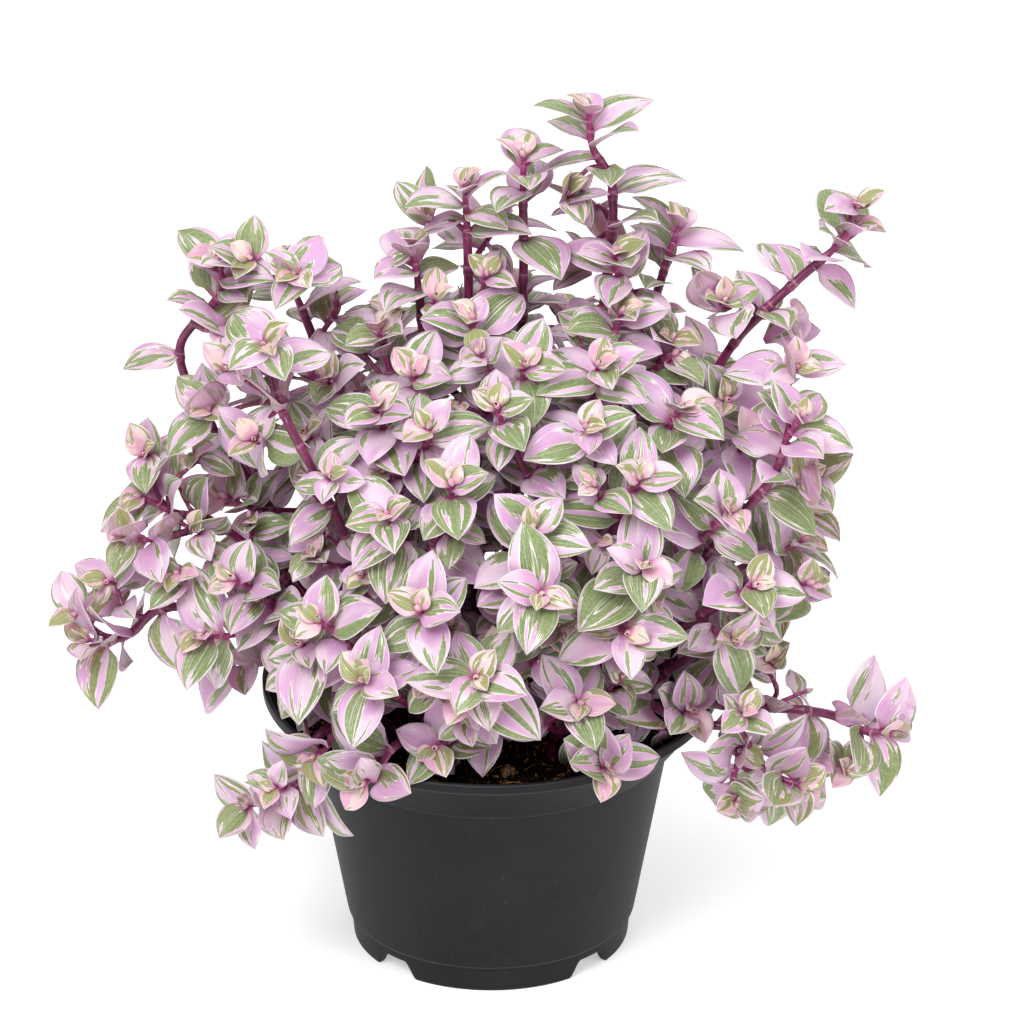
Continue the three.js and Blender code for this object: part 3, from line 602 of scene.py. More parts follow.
def stand_stem(number, stem, corners):
    """The stem as the solids have it: the try whose root and rings are theirs."""
    name, tips, via = stem
    for attempt in range(STEM_TRIES):
        stray = STEM_STRAY * attempt
        root = root_place(via[0] if via else tips[0], draws(STEM_DRAW, number, attempt), stray)
        if apart(root[:2], corners.foot[:2]) > 2 * MATCH:
            continue
        shoots = stem_try(number, tips, via, attempt)
        if all(corners.has(shoot.rings[0]["corner"]) for shoot in shoots):
            return shoots
    raise RuntimeError(f"the frame has no stem like {name}")


# ---------------------------------------------------------------- leaves


class Leaf:
    """A blade by its root, its three directions and its size. Curl, bend and wave are its own quirks."""

    def __init__(self, root, out, face, length, width, draw, age):
        self.root = root
        self.out = out
        self.face = face
        self.side = np.cross(face, out)
        self.length = length
        self.width = width
        self.age = age
        self.cup = CUP + YOUNG_CUP * (1 - age)
        self.bend = draw(-0.05, 0.05)
        self.twist = draw(-0.1, 0.1)
        self.curl = draw(0.0, 0.06)
        self.wave = draw(0.1, 0.4)
        self.phase = draw(0, 6.28)
        self.seed = draw(0, 1)
        self.green = draw(0, 1)
        self.turn_to_light(1)

    def turn_to_light(self, share):
        """How far the blade rolls on its own line, past its base, to face the light."""
        back = smooth((self.root[1] - BACK_LIGHT_FROM) / (BACK_LIGHT_TO - BACK_LIGHT_FROM))
        light = np.array(FRONT_LIGHT) * (1 - back) + np.array(BACK_LIGHT) * back
        light = light + LIGHT_OUTWARD * facing(self.root)
        wanted = math.atan2(-(self.side @ light), self.face @ light)
        most = math.radians(ROLL_MOST)
        self.roll = share * min(max(wanted, -most), most)

    def points(self, u, v):
        """Places on the upper face, for u from -1 to 1 across and v from 0 to 1 along."""
        across = u * outline(v) * self.width
        reach = self.length * v * (1 - LEAF_SHORTENING * v)
        rise = self.length * (LEAF_ARCH * v - LEAF_DROOP * v**2)
        rise = rise - self.length * self.curl * np.clip((v - CURL_FROM) / CURL_OVER, 0, 1) ** 2
        fold = self.cup + BASE_FOLD * np.clip(1 - v / BASE_FOLD_TO, 0, 1)
        soft = KEEL * self.width
        high = fold * (np.sqrt(across**2 + soft**2) - soft)
        high = high + self.wave * u**2 * np.sin(WAVES * v + self.phase) * np.sin(math.pi * v)
        turned = (self.roll + self.twist * v) * smooth(v / ROLL_FROM)
        aside = across * np.cos(turned) - high * np.sin(turned) + self.bend * self.length * v**2
        rise = rise + across * np.sin(turned) + high * np.cos(turned)
        return (self.root + np.multiply.outer(reach, self.out) + np.multiply.outer(aside, self.side)
                + np.multiply.outer(rise, self.face))

    def tip(self):
        reach = self.length * (1 - LEAF_SHORTENING)
        return self.root + self.out * reach + self.face * self.length * (LEAF_ARCH - LEAF_DROOP)

    def cover(self, start=0.2):
        """Points all over the blade past its clasping base, no further apart than the map's cells."""
        rows = max(int(self.length / COVER_STEP), 4)
        columns = max(int(2 * self.width / COVER_STEP), 3)
        v, u = np.meshgrid(np.linspace(start, 1, rows), np.linspace(-1, 1, columns), indexing="ij")
        return self.points(u.ravel(), v.ravel())


OUTLINE_AT = [0, 0.05, 0.1, 0.16, 0.24, 0.34, 0.45, 0.55, 0.65, 0.74, 0.82, 0.89, 0.945, 1]
OUTLINE_WIDE = [0.22, 0.33, 0.49, 0.68, 0.87, 0.98, 1.0, 0.97, 0.89, 0.77, 0.61, 0.41, 0.2, 0.015]


def outline(v):
    """The half width of a leaf along its length: ovate, with a drawn-out tip."""
    return np.interp(v, OUTLINE_AT, OUTLINE_WIDE)


def leaf_directions(along, side, other, turn, climb):
    radial = side * math.cos(turn) + other * math.sin(turn)
    out = radial * math.cos(climb) + along * math.sin(climb)
    face = along * math.cos(climb) - radial * math.sin(climb)
    return out, face


def leaf_try(shoot, joint, attempt):
    """The same tries at a large leaf as the solids make."""
    size = JOINTS[joint]
    ring = next(ring for ring in shoot.rings if ring["distance"] == size["top"])
    draw = draws(LEAF_DRAW, *shoot.keys, joint, attempt)
    stray = LEAF_STRAY + LEAF_STRAY_STEP * attempt
    plant_size = draws(SIZE_DRAW, *shoot.keys)(0.9, 1.1)
    swing = min(max(draw(-stray, stray), -LEAF_STRAY_MOST), LEAF_STRAY_MOST)
    turn = math.radians(ring["turn"] + RING_TWIST / 2 + 90 * FACET_ORDER[joint] + swing)
    climb = math.radians(size["lift"] + draw(-stray, stray) * 0.7)
    length = size["leaf"] * plant_size * draw(0.92, 1.08) * (1 - LEAF_SHRINK * attempt)
    width = length * LEAF_HALF_WIDTH * draw(0.94, 1.08)
    out, face = leaf_directions(ring["along"], ring["side"], ring["other"], turn, climb)
    root = shoot.path.at((size["top"] + size["foot"]) / 2)
    look = draws(LOOK_DRAW, *shoot.keys, joint)
    return Leaf(root, out, face, length, width, look, age=0.55 + 0.15 * joint)


def large_leaves(shoot, corners):
    """The large leaves that the solids have on this shoot."""
    for joint in shoot.joints:
        size = JOINTS[joint]
        if all(ring["distance"] != size["top"] for ring in shoot.rings):
            continue
        shoot.nodes.append(size["foot"])
        for attempt in range(LEAF_TRIES):
            leaf = leaf_try(shoot, joint, attempt)
            if corners.has(leaf.tip()):
                shoot.leaves.append(leaf)
                break


# ---------------------------------------------------------------- room for what is added


class Space:
    """A map of small cells with what owns each: the owner itself, and what lies within a cell of it."""

    def __init__(self, low, high):
        self.low = np.array(low)
        self.shape = np.ceil((np.array(high) - self.low) / CELL).astype(int) + 2
        self.core = np.zeros(self.shape, np.int32)
        self.near = np.zeros(self.shape, np.int32)

    def cells(self, points):
        cells = np.floor((points - self.low) / CELL).astype(int) + 1
        return np.clip(cells, 1, self.shape - 2)

    def mark(self, points, owner):
        x, y, z = self.cells(points).T
        self.core[x, y, z] = owner
        for dx, dy, dz in ((0, 0, 0), (1, 0, 0), (-1, 0, 0), (0, 1, 0), (0, -1, 0), (0, 0, 1), (0, 0, -1)):
            self.near[x + dx, y + dy, z + dz] = owner

    def turn_blade(self, leaf, label):
        """Rolls a large leaf to the light as far as it stays clear of what stands in its cells."""
        x, y, z = self.cells(leaf.cover()).T
        own = self.core[x, y, z] == label
        self.core[x[own], y[own], z[own]] = 0
        for share in (*ROLL_TRIES, 0):
            leaf.turn_to_light(share)
            x, y, z = self.cells(leaf.cover()).T
            if share == 0 or not self.core[x, y, z].any():
                break
        self.core[x, y, z] = label

    def is_free(self, points, owner, loose=0.0):
        """No other owner near it, and not more than a loose share on its own shoot's leaves."""
        x, y, z = self.cells(points).T
        near = self.near[x, y, z]
        if np.any((near != 0) & (near != owner)):
            return False
        return np.mean(self.core[x, y, z] == owner) <= loose


# ---------------------------------------------------------------- meshes in the making


class Mesh:
    """Points, faces, material numbers and two vectors for each point, gathered into one object."""

    def __init__(self):
        self.points = []
        self.quads = []
        self.kinds = []
        self.place = []
        self.look = []
        self.count = 0

    def add(self, points, quads, kind=0, place=(0, 0, 0), look=(0, 0, 0)):
        self.points.append(points)
        self.quads.append(quads + self.count)
        self.kinds.append(np.full(len(quads), kind))
        self.place.append(np.broadcast_to(place, (len(points), 3)))
        self.look.append(np.broadcast_to(look, (len(points), 3)))
        self.count += len(points)

    def to_object(self, name, materials, axis):
        points = (np.concatenate(self.points) + axis) * MM
        quads = np.concatenate(self.quads)
        mesh = bpy.data.meshes.new(name)
        mesh.vertices.add(len(points))
        mesh.vertices.foreach_set("co", points.astype(np.float32).ravel())
        mesh.loops.add(quads.size)
        mesh.loops.foreach_set("vertex_index", quads.astype(np.int32).ravel())
        mesh.polygons.add(len(quads))
        mesh.polygons.foreach_set("loop_start", np.arange(0, quads.size, 4, dtype=np.int32))
        mesh.polygons.foreach_set("material_index", np.concatenate(self.kinds).astype(np.int32))
        mesh.polygons.foreach_set("use_smooth", np.ones(len(quads), bool))
        for label, rows in (("place", self.place), ("look", self.look)):
            layer = mesh.attributes.new(label, "FLOAT_VECTOR", "POINT")
            layer.data.foreach_set("vector", np.concatenate(rows).astype(np.float32).ravel())
        for material in materials:
            mesh.materials.append(material)
        mesh.update(calc_edges=True)
        mesh.validate()
        piece = bpy.data.objects.new(name, mesh)
        bpy.context.scene.collection.objects.link(piece)
        return piece


def grid_quads(rows, columns, offset=0, wrap=False):
    """Faces of a grid of points, row after row, its columns joined round where it wraps."""
    steps = np.arange(columns if wrap else columns - 1)
    row, column = (one.ravel() for one in np.meshgrid(np.arange(rows - 1), steps, indexing="ij"))
    after = (column + 1) % columns
    here, ahead = row * columns, (row + 1) * columns
    return np.stack([here + column, here + after, ahead + after, ahead + column], 1) + offset


def rim_quads(rows, columns):
    """Faces that join the border of a grid of points to the border of the same grid after it."""
    count = rows * columns
    border = np.array([*range(columns), *range(2 * columns - 1, count, columns),
                       *range(count - 2, count - columns - 1, -1),
                       *range(count - 2 * columns, 0, -columns)])
    after = np.roll(border, -1)
    return np.stack([border, border + count, after + count, after], 1)


def fan_quads(columns, offset=0):
    """Faces that close a ring of an even number of points."""
    step = np.arange(1, columns - 1, 2)
    return np.stack([0 * step, step, step + 1, step + 2], 1) + offset


def ring_points(radius, height, turns):
    """Points round the pot's axis. The radius and the height may vary round it."""
    return np.stack([radius * np.cos(turns), radius * np.sin(turns), height + 0 * turns], 1)


def add_blade(mesh, leaf):
    """A closed blade: its upper face, its lower face and the rim between them."""
    fine = leaf.length > FINE_BLADE
    columns = LEAF_COLUMNS if fine else LEAF_COLUMNS - 2
    rows = LEAF_ROWS if fine else LEAF_ROWS - 4
    v, u = np.meshgrid(np.linspace(0, 1, rows) ** 0.9, np.linspace(-1, 1, columns), indexing="ij")
    u = np.sign(u) * np.abs(u) ** 0.8
    upper = leaf.points(u.ravel(), v.ravel())
    thick = LEAF_THICK * (1 - BLADE_FLAT * u.ravel() ** 2)
    lower = upper - np.multiply.outer(thick, leaf.face)
    count = rows * columns
    top = grid_quads(rows, columns)
    under = grid_quads(rows, columns, count)[:, ::-1]
    place = np.stack([u.ravel(), v.ravel(), np.zeros(count)], 1)
    place = np.concatenate([place, place + [0, 0, 1]])
    quads = np.concatenate([top, under, rim_quads(rows, columns)])
    mesh.add(np.concatenate([upper, lower]), quads, 0, place, (leaf.seed, leaf.green, leaf.age))


BUD_SIZE = 0.84
SMALL_BUD_SIZE = 0.7
BUD_LENGTH = 4.4
BUD_DEPTH = 1.2  # of its base behind the shoot's tip
BUD_WRAP = 1.12  # turns to each side of its middle, in half circles
BUD_THICK = 0.32


def add_bud(mesh, shoot, size, draw):
    """The rolled young leaf at the tip of a shoot, open along one side, its own tip pointed."""
    rows, columns = 9, 15
    along, side, other, _ = shoot.frame(0)
    base = shoot.path.at(0) - along * BUD_DEPTH
    v, u = np.meshgrid(np.linspace(0, 1, rows), np.linspace(-1, 1, columns), indexing="ij")
    height = BUD_LENGTH * size * v * (1 - 0.42 * np.abs(u) ** 1.5)
    share = height / (BUD_LENGTH * size)
    turn = draw(0, 6.28)
    angle = turn + u * math.pi * BUD_WRAP
    radius = size * (0.7 + 0.6 * np.sin(math.pi * np.clip(share * 1.02, 0, 1) ** 0.8)) * (1 - 0.16 * u)
    radius = np.maximum(radius, 0.2)
    lean = unit(side * math.cos(turn) + other * math.sin(turn))

    def shell(inset):
        r = (radius - inset).ravel()
        points = base + np.multiply.outer(height.ravel(), along)
        points = points + np.multiply.outer(r * np.cos(angle.ravel()), side)
        points = points + np.multiply.outer(r * np.sin(angle.ravel()), other)
        return points - np.multiply.outer(0.9 * size * share.ravel() ** 2, lean)

    outer = shell(0)
    inner = shell(BUD_THICK)
    count = rows * columns
    rim = rim_quads(rows, columns)[:, [0, 3, 2, 1]]
    quads = np.concatenate([grid_quads(rows, columns)[:, ::-1], grid_quads(rows, columns, count), rim])
    place = np.stack([u.ravel(), 0.04 + 0.4 * share.ravel(), np.full(count, 0.3)], 1)
    place = np.concatenate([place, place - [0, 0.06, 0.3]])
    mesh.add(np.concatenate([outer, inner]), quads, 0, place, (draw(0, 1), draw(0.1, 0.5), 0.0))


STEM_STEP = 2.2
JOINT_STEPS = (-3.2, -2.75, -2.6, -1.4, -0.5, 0, 0.5, 1.3)  # rings about a joint: its sleeve's rim, its bulge
ROUND_SHARE = 0.93  # of the solids' radius, which is to the corners of a square stem
SWELL = 0.28


def add_stem(mesh, shoot):
    """A round jointed stem: at each joint it swells, and a clasping sleeve ends in a thin rim."""
    path = shoot.path
    end = shoot.end
    nodes = sorted(shoot.nodes)
    steps = {*np.arange(0, end, STEM_STEP), end, *(node + step for node in nodes for step in JOINT_STEPS)}
    distances = np.array(sorted(step for step in steps if 0 <= step <= end))
    wide = shoot.radius * ROUND_SHARE * (0.42 + 0.58 * np.clip(distances / 22, 0, 1))
    swell = wide / STEM_RADIUS
    rim = np.zeros(len(distances))
    for node in nodes:
        behind = distances - node
        wide = wide + SWELL * swell * np.exp(-((behind / 0.8) ** 2))
        sleeve = (behind > -2.76) & (behind < 0)
        wide = wide + np.where(sleeve, swell * (0.16 - 0.06 * behind / 2.7), 0)
        rim = np.maximum(rim, np.clip(1 - np.abs(behind + 2.65) / 0.5, 0, 1))
        rim = np.maximum(rim, 0.45 * np.clip(1 - np.abs(behind - 0.1) / 0.5, 0, 1))
    side = shoot.frame(0)[1]
    angles = np.linspace(0, CIRCLE, TUBE_SIDES, endpoint=False)
    rows = []
    for distance, radius in zip(distances, wide):
        along = UP if distance > path.length else path.along(distance)
        side = square_to(side, along)
        other = np.cross(along, side)
        ring = np.multiply.outer(np.cos(angles), side) + np.multiply.outer(np.sin(angles), other)
        rows.append(path.at(distance) + ring * radius)
    points = np.concatenate(rows)
    quads = grid_quads(len(distances), TUBE_SIDES, wrap=True)
    place = np.stack([np.tile(angles / 6.2832, len(distances)), np.repeat(distances * 0.01, TUBE_SIDES),
                      np.repeat(rim, TUBE_SIDES)], 1)
    cap = fan_quads(TUBE_SIDES)
    last = (len(distances) - 1) * TUBE_SIDES
    quads = np.concatenate([quads, cap, cap[:, ::-1] + last])
    mesh.add(points, quads, 1, place, (draws(BARK_DRAW, *shoot.keys)(0, 1), 0, 0))


# ---------------------------------------------------------------- what is added to each stem


def free_leaf(shoot, distance, length, lift, facet, key, space, age, tries=6, start=0.2, loose=0.0):
    """A leaf that the solids don't have, where it has room. Later tries turn further and are smaller."""
    along, side, other, turn = shoot.frame(distance)
    for attempt in range(tries):
        draw = draws(FREE_DRAW, *shoot.keys, key, attempt)
        stray = 10 + 12 * attempt
        angle = math.radians(turn + RING_TWIST / 2 + 90 * facet + draw(-stray, stray))
        climb = math.radians(lift + draw(-0.6, 0.6) * stray)
        size = length * draw(0.88, 1.1) * (1 - 0.05 * attempt)
        out, face = leaf_directions(along, side, other, angle, climb)
        width = size * LEAF_HALF_WIDTH * draw(0.92, 1.08) * (1 + YOUNG_BREADTH * (1 - age))
        leaf = Leaf(shoot.path.at(distance), out, face, size, width, draw, age)
        if not in_the_clear(leaf.tip()) and space.is_free(leaf.cover(start), shoot.owner_mark, loose):
            space.mark(leaf.cover(start), shoot.owner_mark)
            shoot.leaves.append(leaf)
            return


def dress_tip(shoot, size, space, farthest=25):
    for number, (distance, length, lift, facet, age) in enumerate(TIP_LEAVES):
        if distance < farthest:
            young = age < 0.5
            free_leaf(shoot, distance, length * size, lift, facet, TIP_KEY + number, space, age,
                      start=0.45 if young else 0.25, loose=0.35 if young else 0.1)


def in_dome(point, share=1.0):
    across = (point[0] - DOME["across"]) / DOME["wide"]
    depth = (point[1] - DOME["depth"]) / DOME["deep"]
    height = (point[2] - DOME["height"]) / DOME["tall"]
    return across**2 + depth**2 + height**2 < share**2


def lower_leaves(shoot, space):
    """Leaves at the joints below the large ones, down to just above the soil. Bare arms carry fewer."""
    number = 0
    distance = LOW_JOINTS_FROM if len(shoot.joints) > 2 else JOINTS[2]["foot"] - 1
    last = shoot.path.length - (16 if shoot.keys[1] == 0 else 7)
    while distance < last:
        shoot.nodes.append(distance + JOINT_BEHIND)
        length = 24 - 0.03 * distance
        facet = FACET_ORDER[number % 4]
        if number % 2 == 0 or in_dome(shoot.path.at(distance)):
            free_leaf(shoot, distance, length, LOW_LIFT, facet, LOW_KEY + number, space, 1.0, tries=7)
        distance += JOINT_STEP
        number += 1


def added_shoot(parent, path, key, turn):
    ring = {"distance": 0, "side": any_side(path.along(0)), "turn": turn}
    shoot = Shoot(parent.owner, (parent.keys[0], ADDED + key), path, [ring], ADDED_RADIUS)
    shoot.owner_mark = parent.owner_mark + 1000 * (key + 1)
    return shoot


def extra_shoot(shoots, number, tip, space):
    """A side shoot to a wanted tip, from the nearest stem below it."""
    best = None
    for parent in shoots:
        for distance in np.arange(12, parent.path.length - FOOT_CLEAR, 3):
            start = parent.path.at(distance)
            away = apart(start, tip)
            if away > EXTRA_FROM and (best is None or away < best[0]):
                best = away, parent, distance
    _, parent, distance = best
    start = parent.path.at(distance)
    draw = draws(EXTRA_DRAW, number)
    begin = unit(tip - start + parent.path.along(distance) * 8)
    aim = unit(facing(tip) + EXTRA_FORWARD)
    path = Path([start, start + begin * apart(start, tip) * 0.4, tip - aim * 6, tip])
    shoot = added_shoot(parent, path, ROSETTE_KEY + number, draw(0, 360))
    space.mark(tube_cover(shoot)[:-4], shoot.owner_mark)
    dress_tip(shoot, 1.0, space, 11)
    for place, leaf, lift, facet in EXTRA_JOINTS:
        if place < path.length - 5:
            free_leaf(shoot, place, leaf, lift, facet, EXTRA_KEY + facet, space, 0.9,
                      tries=8, start=0.25, loose=0.1)
            shoot.nodes.append(place + JOINT_BEHIND)
    return shoot


def short_shoot(parent, distance, key, space):
    """A short side shoot with its own small rosette, where there is room for most of it."""
    start = parent.path.at(distance)
    along = parent.path.along(distance)
    outward = facing(start)
    for attempt in range(SHORT_TRIES):
        draw = draws(SHORT_DRAW, *parent.keys, key, attempt)
        length = draw(14, 30) * (1 - 0.06 * attempt)
        aim = unit(outward + vector(draw(-1, 1), draw(-1, 1), draw(-0.6, 0.8)) * 0.9)
        base = square_to(aim, along)
        begin = unit(base * 0.8 + along * 0.6)
        tip = start + begin * length * 0.5 + unit(aim + UP * 0.25) * length * 0.55
        if in_the_clear(tip) or not in_dome(tip, 1.05 if tip[0] < 0 else 0.98):
            continue
        path = Path([start, start + begin * length * 0.4, tip])
        shoot = added_shoot(parent, path, key, draw(0, 360))
        stem = np.array([path.at(d) for d in np.arange(0, path.length - 4, 1.0)])
        if not space.is_free(stem, shoot.owner_mark):
            continue
        size = draw(0.75, 1.0)
        for number, (place, leaf, lift, facet) in enumerate(SHORT_JOINTS):
            if place < path.length - 3:
                free_leaf(shoot, place, leaf * size, lift, facet, SHORT_KEY + number, space, 0.6, tries=5)
        if len(shoot.leaves) < 2:
            continue
        shoot.nodes = [place + JOINT_BEHIND for place, *_ in SHORT_JOINTS if place < path.length - 3]
        space.mark(stem, shoot.owner_mark)
        dress_tip(shoot, size * 0.9, space, 4)
        return shoot
    return None


# ---------------------------------------------------------------- materials


def colour(code):
    """A linear colour from its usual hex code."""
    parts = [int(code[i : i + 2], 16) / 255 for i in (1, 3, 5)]
    return tuple(p / 12.92 if p <= 0.04045 else ((p + 0.055) / 1.055) ** 2.4 for p in parts) + (1.0,)


class Paint:
    """A material's node tree, with a short call for each kind of node."""

    def __init__(self, name, roughness=0.5, **settings):
        self.material = bpy.data.materials.new(name)
        self.material.use_nodes = True
        self.tree = self.material.node_tree
        self.shader = self.tree.nodes["Principled BSDF"]
        self.shader.inputs["Roughness"].default_value = roughness
        for label, value in settings.items():
            self.shader.inputs[label.replace("_", " ")].default_value = value

    def node(self, kind, inputs=None, **settings):
        made = self.tree.nodes.new(kind)
        for label, value in settings.items():
            setattr(made, label, value)
        for label, value in (inputs or {}).items():
            self.feed(made.inputs[label], value)
        return made

    def feed(self, socket, value):
        if isinstance(value, bpy.types.NodeSocket):
            self.tree.links.new(value, socket)
        elif value is not None:
            socket.default_value = value

    def set(self, label, value):
        self.feed(self.shader.inputs[label], value)

    def split(self, name):
        source = self.node("ShaderNodeAttribute", attribute_name=name)
        parts = self.node("ShaderNodeSeparateXYZ", {"Vector": source.outputs["Vector"]})
        return parts.outputs["X"], parts.outputs["Y"], parts.outputs["Z"]

    def math(self, operation, a, b=None, c=None):
        made = self.node("ShaderNodeMath", operation=operation)
        for socket, value in zip(made.inputs, (a, b, c)):
            self.feed(socket, value)
        return made.outputs["Value"]

    def times(self, a, b):
        return self.math("MULTIPLY", a, b)

    def combine(self, x, y, z):
        return self.node("ShaderNodeCombineXYZ", {"X": x, "Y": y, "Z": z}).outputs["Vector"]

    def stretch(self, *parts):
        """A place whose three parts are each a value times a factor."""
        return self.combine(*(self.times(value, factor) for value, factor in parts))

    def noise(self, where, scale=1.0, detail=1.0, roughness=0.5):
        inputs = {"Vector": where, "Scale": scale, "Detail": detail, "Roughness": roughness}
        return self.node("ShaderNodeTexNoise", inputs).outputs["Fac"]

    def step(self, value, low, high):
        inputs = {"Value": value, "From Min": low, "From Max": high}
        made = self.node("ShaderNodeMapRange", inputs, interpolation_type="SMOOTHSTEP")
        return made.outputs["Result"]

    def mix(self, share, a, b):
        made = self.node("ShaderNodeMix", data_type="RGBA")
        self.feed(made.inputs["Factor"], share)
        self.feed(made.inputs[6], a)
        self.feed(made.inputs[7], b)
        return made.outputs[2]

    def bump(self, height, distance, strength=1.0):
        inputs = {"Height": height, "Distance": distance, "Strength": strength}
        self.set("Normal", self.node("ShaderNodeBump", inputs).outputs["Normal"])

    def where(self):
        return self.node("ShaderNodeTexCoord").outputs["Object"]


def leaf_paint():
    """Uneven green stripes with pale edges on pink, a magenta base, and a mauve lower face."""
    p = Paint("leaf", roughness=0.48, Specular_IOR_Level=0.38, Subsurface_Weight=0.14,
              Subsurface_Scale=0.0015)
    u, v, under = p.split("place")
    seed, green, age = p.split("look")
    ragged = p.noise(p.stretch((u, 11), (v, 1.5), (seed, 57)))
    forward = p.math("MULTIPLY_ADD", v, 1.25, p.math("MULTIPLY_ADD", ragged, 0.9, -0.45))
    lane = p.noise(p.combine(p.times(u, 2.25), forward, p.times(seed, 131)), detail=0.3)
    limit = p.math("MULTIPLY_ADD", green, -0.22, 0.62)
    above = p.math("SUBTRACT", lane, limit)
    striped = p.step(above, 0.0, 0.012)
    pale_edge = p.step(above, -0.04, -0.004)
    fine = p.noise(p.stretch((u, 3.6), (v, 0.3), (seed, 211)))
    line = p.math("SUBTRACT", 1.0, p.step(p.math("ABSOLUTE", p.math("SUBTRACT", fine, 0.5)), 0.003, 0.013))
    broad = p.noise(p.stretch((u, 0.9), (v, 1.3), (seed, 17)))
    speckle = p.noise(p.where(), scale=900, detail=2)

    pink = p.mix(p.step(broad, 0.38, 0.66), colour("#c99bc2"), colour("#dcc3d4"))
    fresh = p.mix(p.step(broad, 0.42, 0.6), colour("#dda4b6"), colour("#e6cabd"))
    pink = p.mix(p.step(age, 0.5, 0.15), pink, fresh)
    leafy = p.mix(p.step(speckle, 0.3, 0.75), colour("#71854e"), colour("#8a9b69"))
    leafy = p.mix(p.step(age, 0.55, 0.2), leafy, colour("#94955c"))
    pale = colour("#f1e8e3")
    body = p.mix(p.times(pale_edge, 0.8), pink, pale)
    body = p.mix(striped, body, leafy)
    body = p.mix(p.times(p.times(line, striped), 0.85), body, pale)
    edge = p.step(p.math("ABSOLUTE", u), 0.93, 0.975)
    body = p.mix(p.times(edge, 0.85), body, colour("#ecdae5"))
    reach = p.math("MULTIPLY_ADD", age, -0.16, 0.32)
    base = p.times(p.step(v, reach, 0.03), p.math("MULTIPLY_ADD", age, -0.3, 0.95))
    body = p.mix(base, body, colour("#b04088"))
    mauve = p.mix(p.step(broad, 0.3, 0.7), colour("#b77ba8"), colour("#cc9abc"))
    body = p.mix(p.times(under, 0.55), body, mauve)
    ribs = p.noise(p.combine(p.times(u, 22), p.times(v, 0.8), seed), detail=1)
    body = p.mix(p.times(p.step(ribs, 0.45, 0.7), 0.1), body, colour("#fff4f6"))
    p.set("Base Color", body)
    p.bump(p.math("ADD", ribs, p.times(speckle, 0.3)), 0.0002, 0.45)
    return p.material


def stem_paint():
    """Maroon with long streaks, pinker at the tip, with a light rim at each sleeve."""
    p = Paint("stem", roughness=0.34, Specular_IOR_Level=0.5, Subsurface_Weight=0.06,
              Subsurface_Scale=0.002)
    turn, distance, rim = p.split("place")
    seed, _, _ = p.split("look")
    long = p.stretch((turn, 9), (distance, 14), (seed, 31))
    streak = p.noise(long, detail=2)
    body = p.mix(p.step(streak, 0.3, 0.7), colour("#521232"), colour("#80285a"))
    body = p.mix(p.step(distance, 0.22, 0.03), body, colour("#96386c"))
    body = p.mix(p.times(rim, 0.5), body, colour("#c88aa2"))
    p.set("Base Color", body)
    p.bump(streak, 0.0002, 0.4)
    return p.material


def pot_paint():
    """Matt black with a fine grain, a flared band darkened with painted shade, and painted highlights along
    its edges.
    """
    p = Paint("pot", roughness=0.52, Specular_IOR_Level=0.14)
    where = p.where()
    height = p.node("ShaderNodeSeparateXYZ", {"Vector": where}).outputs["Z"]
    broad = p.noise(where, scale=38, detail=4, roughness=0.6)
    grain = p.noise(where, scale=1700, detail=3, roughness=0.6)
    specks = p.noise(where, scale=620, detail=1)
    body = p.mix(p.step(broad, 0.3, 0.7), colour("#1c1b1e"), colour("#222124"))
    body = p.mix(p.step(specks, 0.7, 0.78), body, colour("#2e2d31"))
    # Painted shade: the flared band between collar and lip is darkened so that the floor's light doesn't make
    # it lighter than the wall
    above = p.step(height, SHADE_BAND[0] * MM, SHADE_BAND[1] * MM)
    below = p.step(height, SHADE_BAND[3] * MM, SHADE_BAND[2] * MM)
    band_shade = p.times(above, below)
    body = p.mix(p.times(band_shade, 0.75), body, colour("#0d0d0f"))
    # Painted highlights: thin lighter lines along the pot's edges, where the edges would catch the light
    for edge in EDGE_HIGHLIGHTS:
        off = p.math("ABSOLUTE", p.math("SUBTRACT", height, edge * MM))
        body = p.mix(p.step(off, EDGE_HALF * MM, 0.4 * EDGE_HALF * MM), body, colour("#3b3b3e"))
    p.set("Base Color", body)
    rough = p.node("ShaderNodeMapRange", {"Value": broad, "To Min": 0.46, "To Max": 0.6})
    p.set("Roughness", rough.outputs["Result"])
    p.bump(grain, 0.0001, 0.5)
    return p.material


def soil_paint():
    """Nearly black compost with golden flecks."""
    p = Paint("soil", roughness=0.92, Specular_IOR_Level=0.2)
    where = p.where()
    crumbs = p.noise(where, scale=330, detail=5, roughness=0.65)
    flecks = p.noise(where, scale=760, detail=2)
    body = p.mix(p.step(crumbs, 0.35, 0.65), colour("#0a0705"), colour("#22160e"))
    body = p.mix(p.step(flecks, 0.66, 0.72), body, colour("#c48a42"))
    p.set("Base Color", body)
    p.bump(crumbs, 0.0012, 0.9)
    return p.material


def plain_paint(name, dark, light, scale, roughness):
    p = Paint(name, roughness=roughness)
    grain = p.noise(p.where(), scale=scale, detail=3)
    p.set("Base Color", p.mix(p.step(grain, 0.3, 0.7), colour(dark), colour(light)))
    p.bump(grain, 0.0003, 0.5)
    return p.material


# ---------------------------------------------------------------- pot


CORNER_STEPS = 4


def rounded(points):
    """A closed outline of (radius, height, rounding) with an arc at each corner."""
    section = []
    for i, (r, z, round_by) in enumerate(points):
        here = np.array([r, z], float)
        before = np.array(points[i - 1][:2], float) - here
        after = np.array(points[(i + 1) % len(points)][:2], float) - here
        start = here + before / np.linalg.norm(before) * round_by
        end = here + after / np.linalg.norm(after) * round_by
        for step in range(CORNER_STEPS + 1):
            t = step / CORNER_STEPS
            section.append(start * (1 - t) ** 2 + here * 2 * t * (1 - t) + end * t**2)
    return np.array(section)


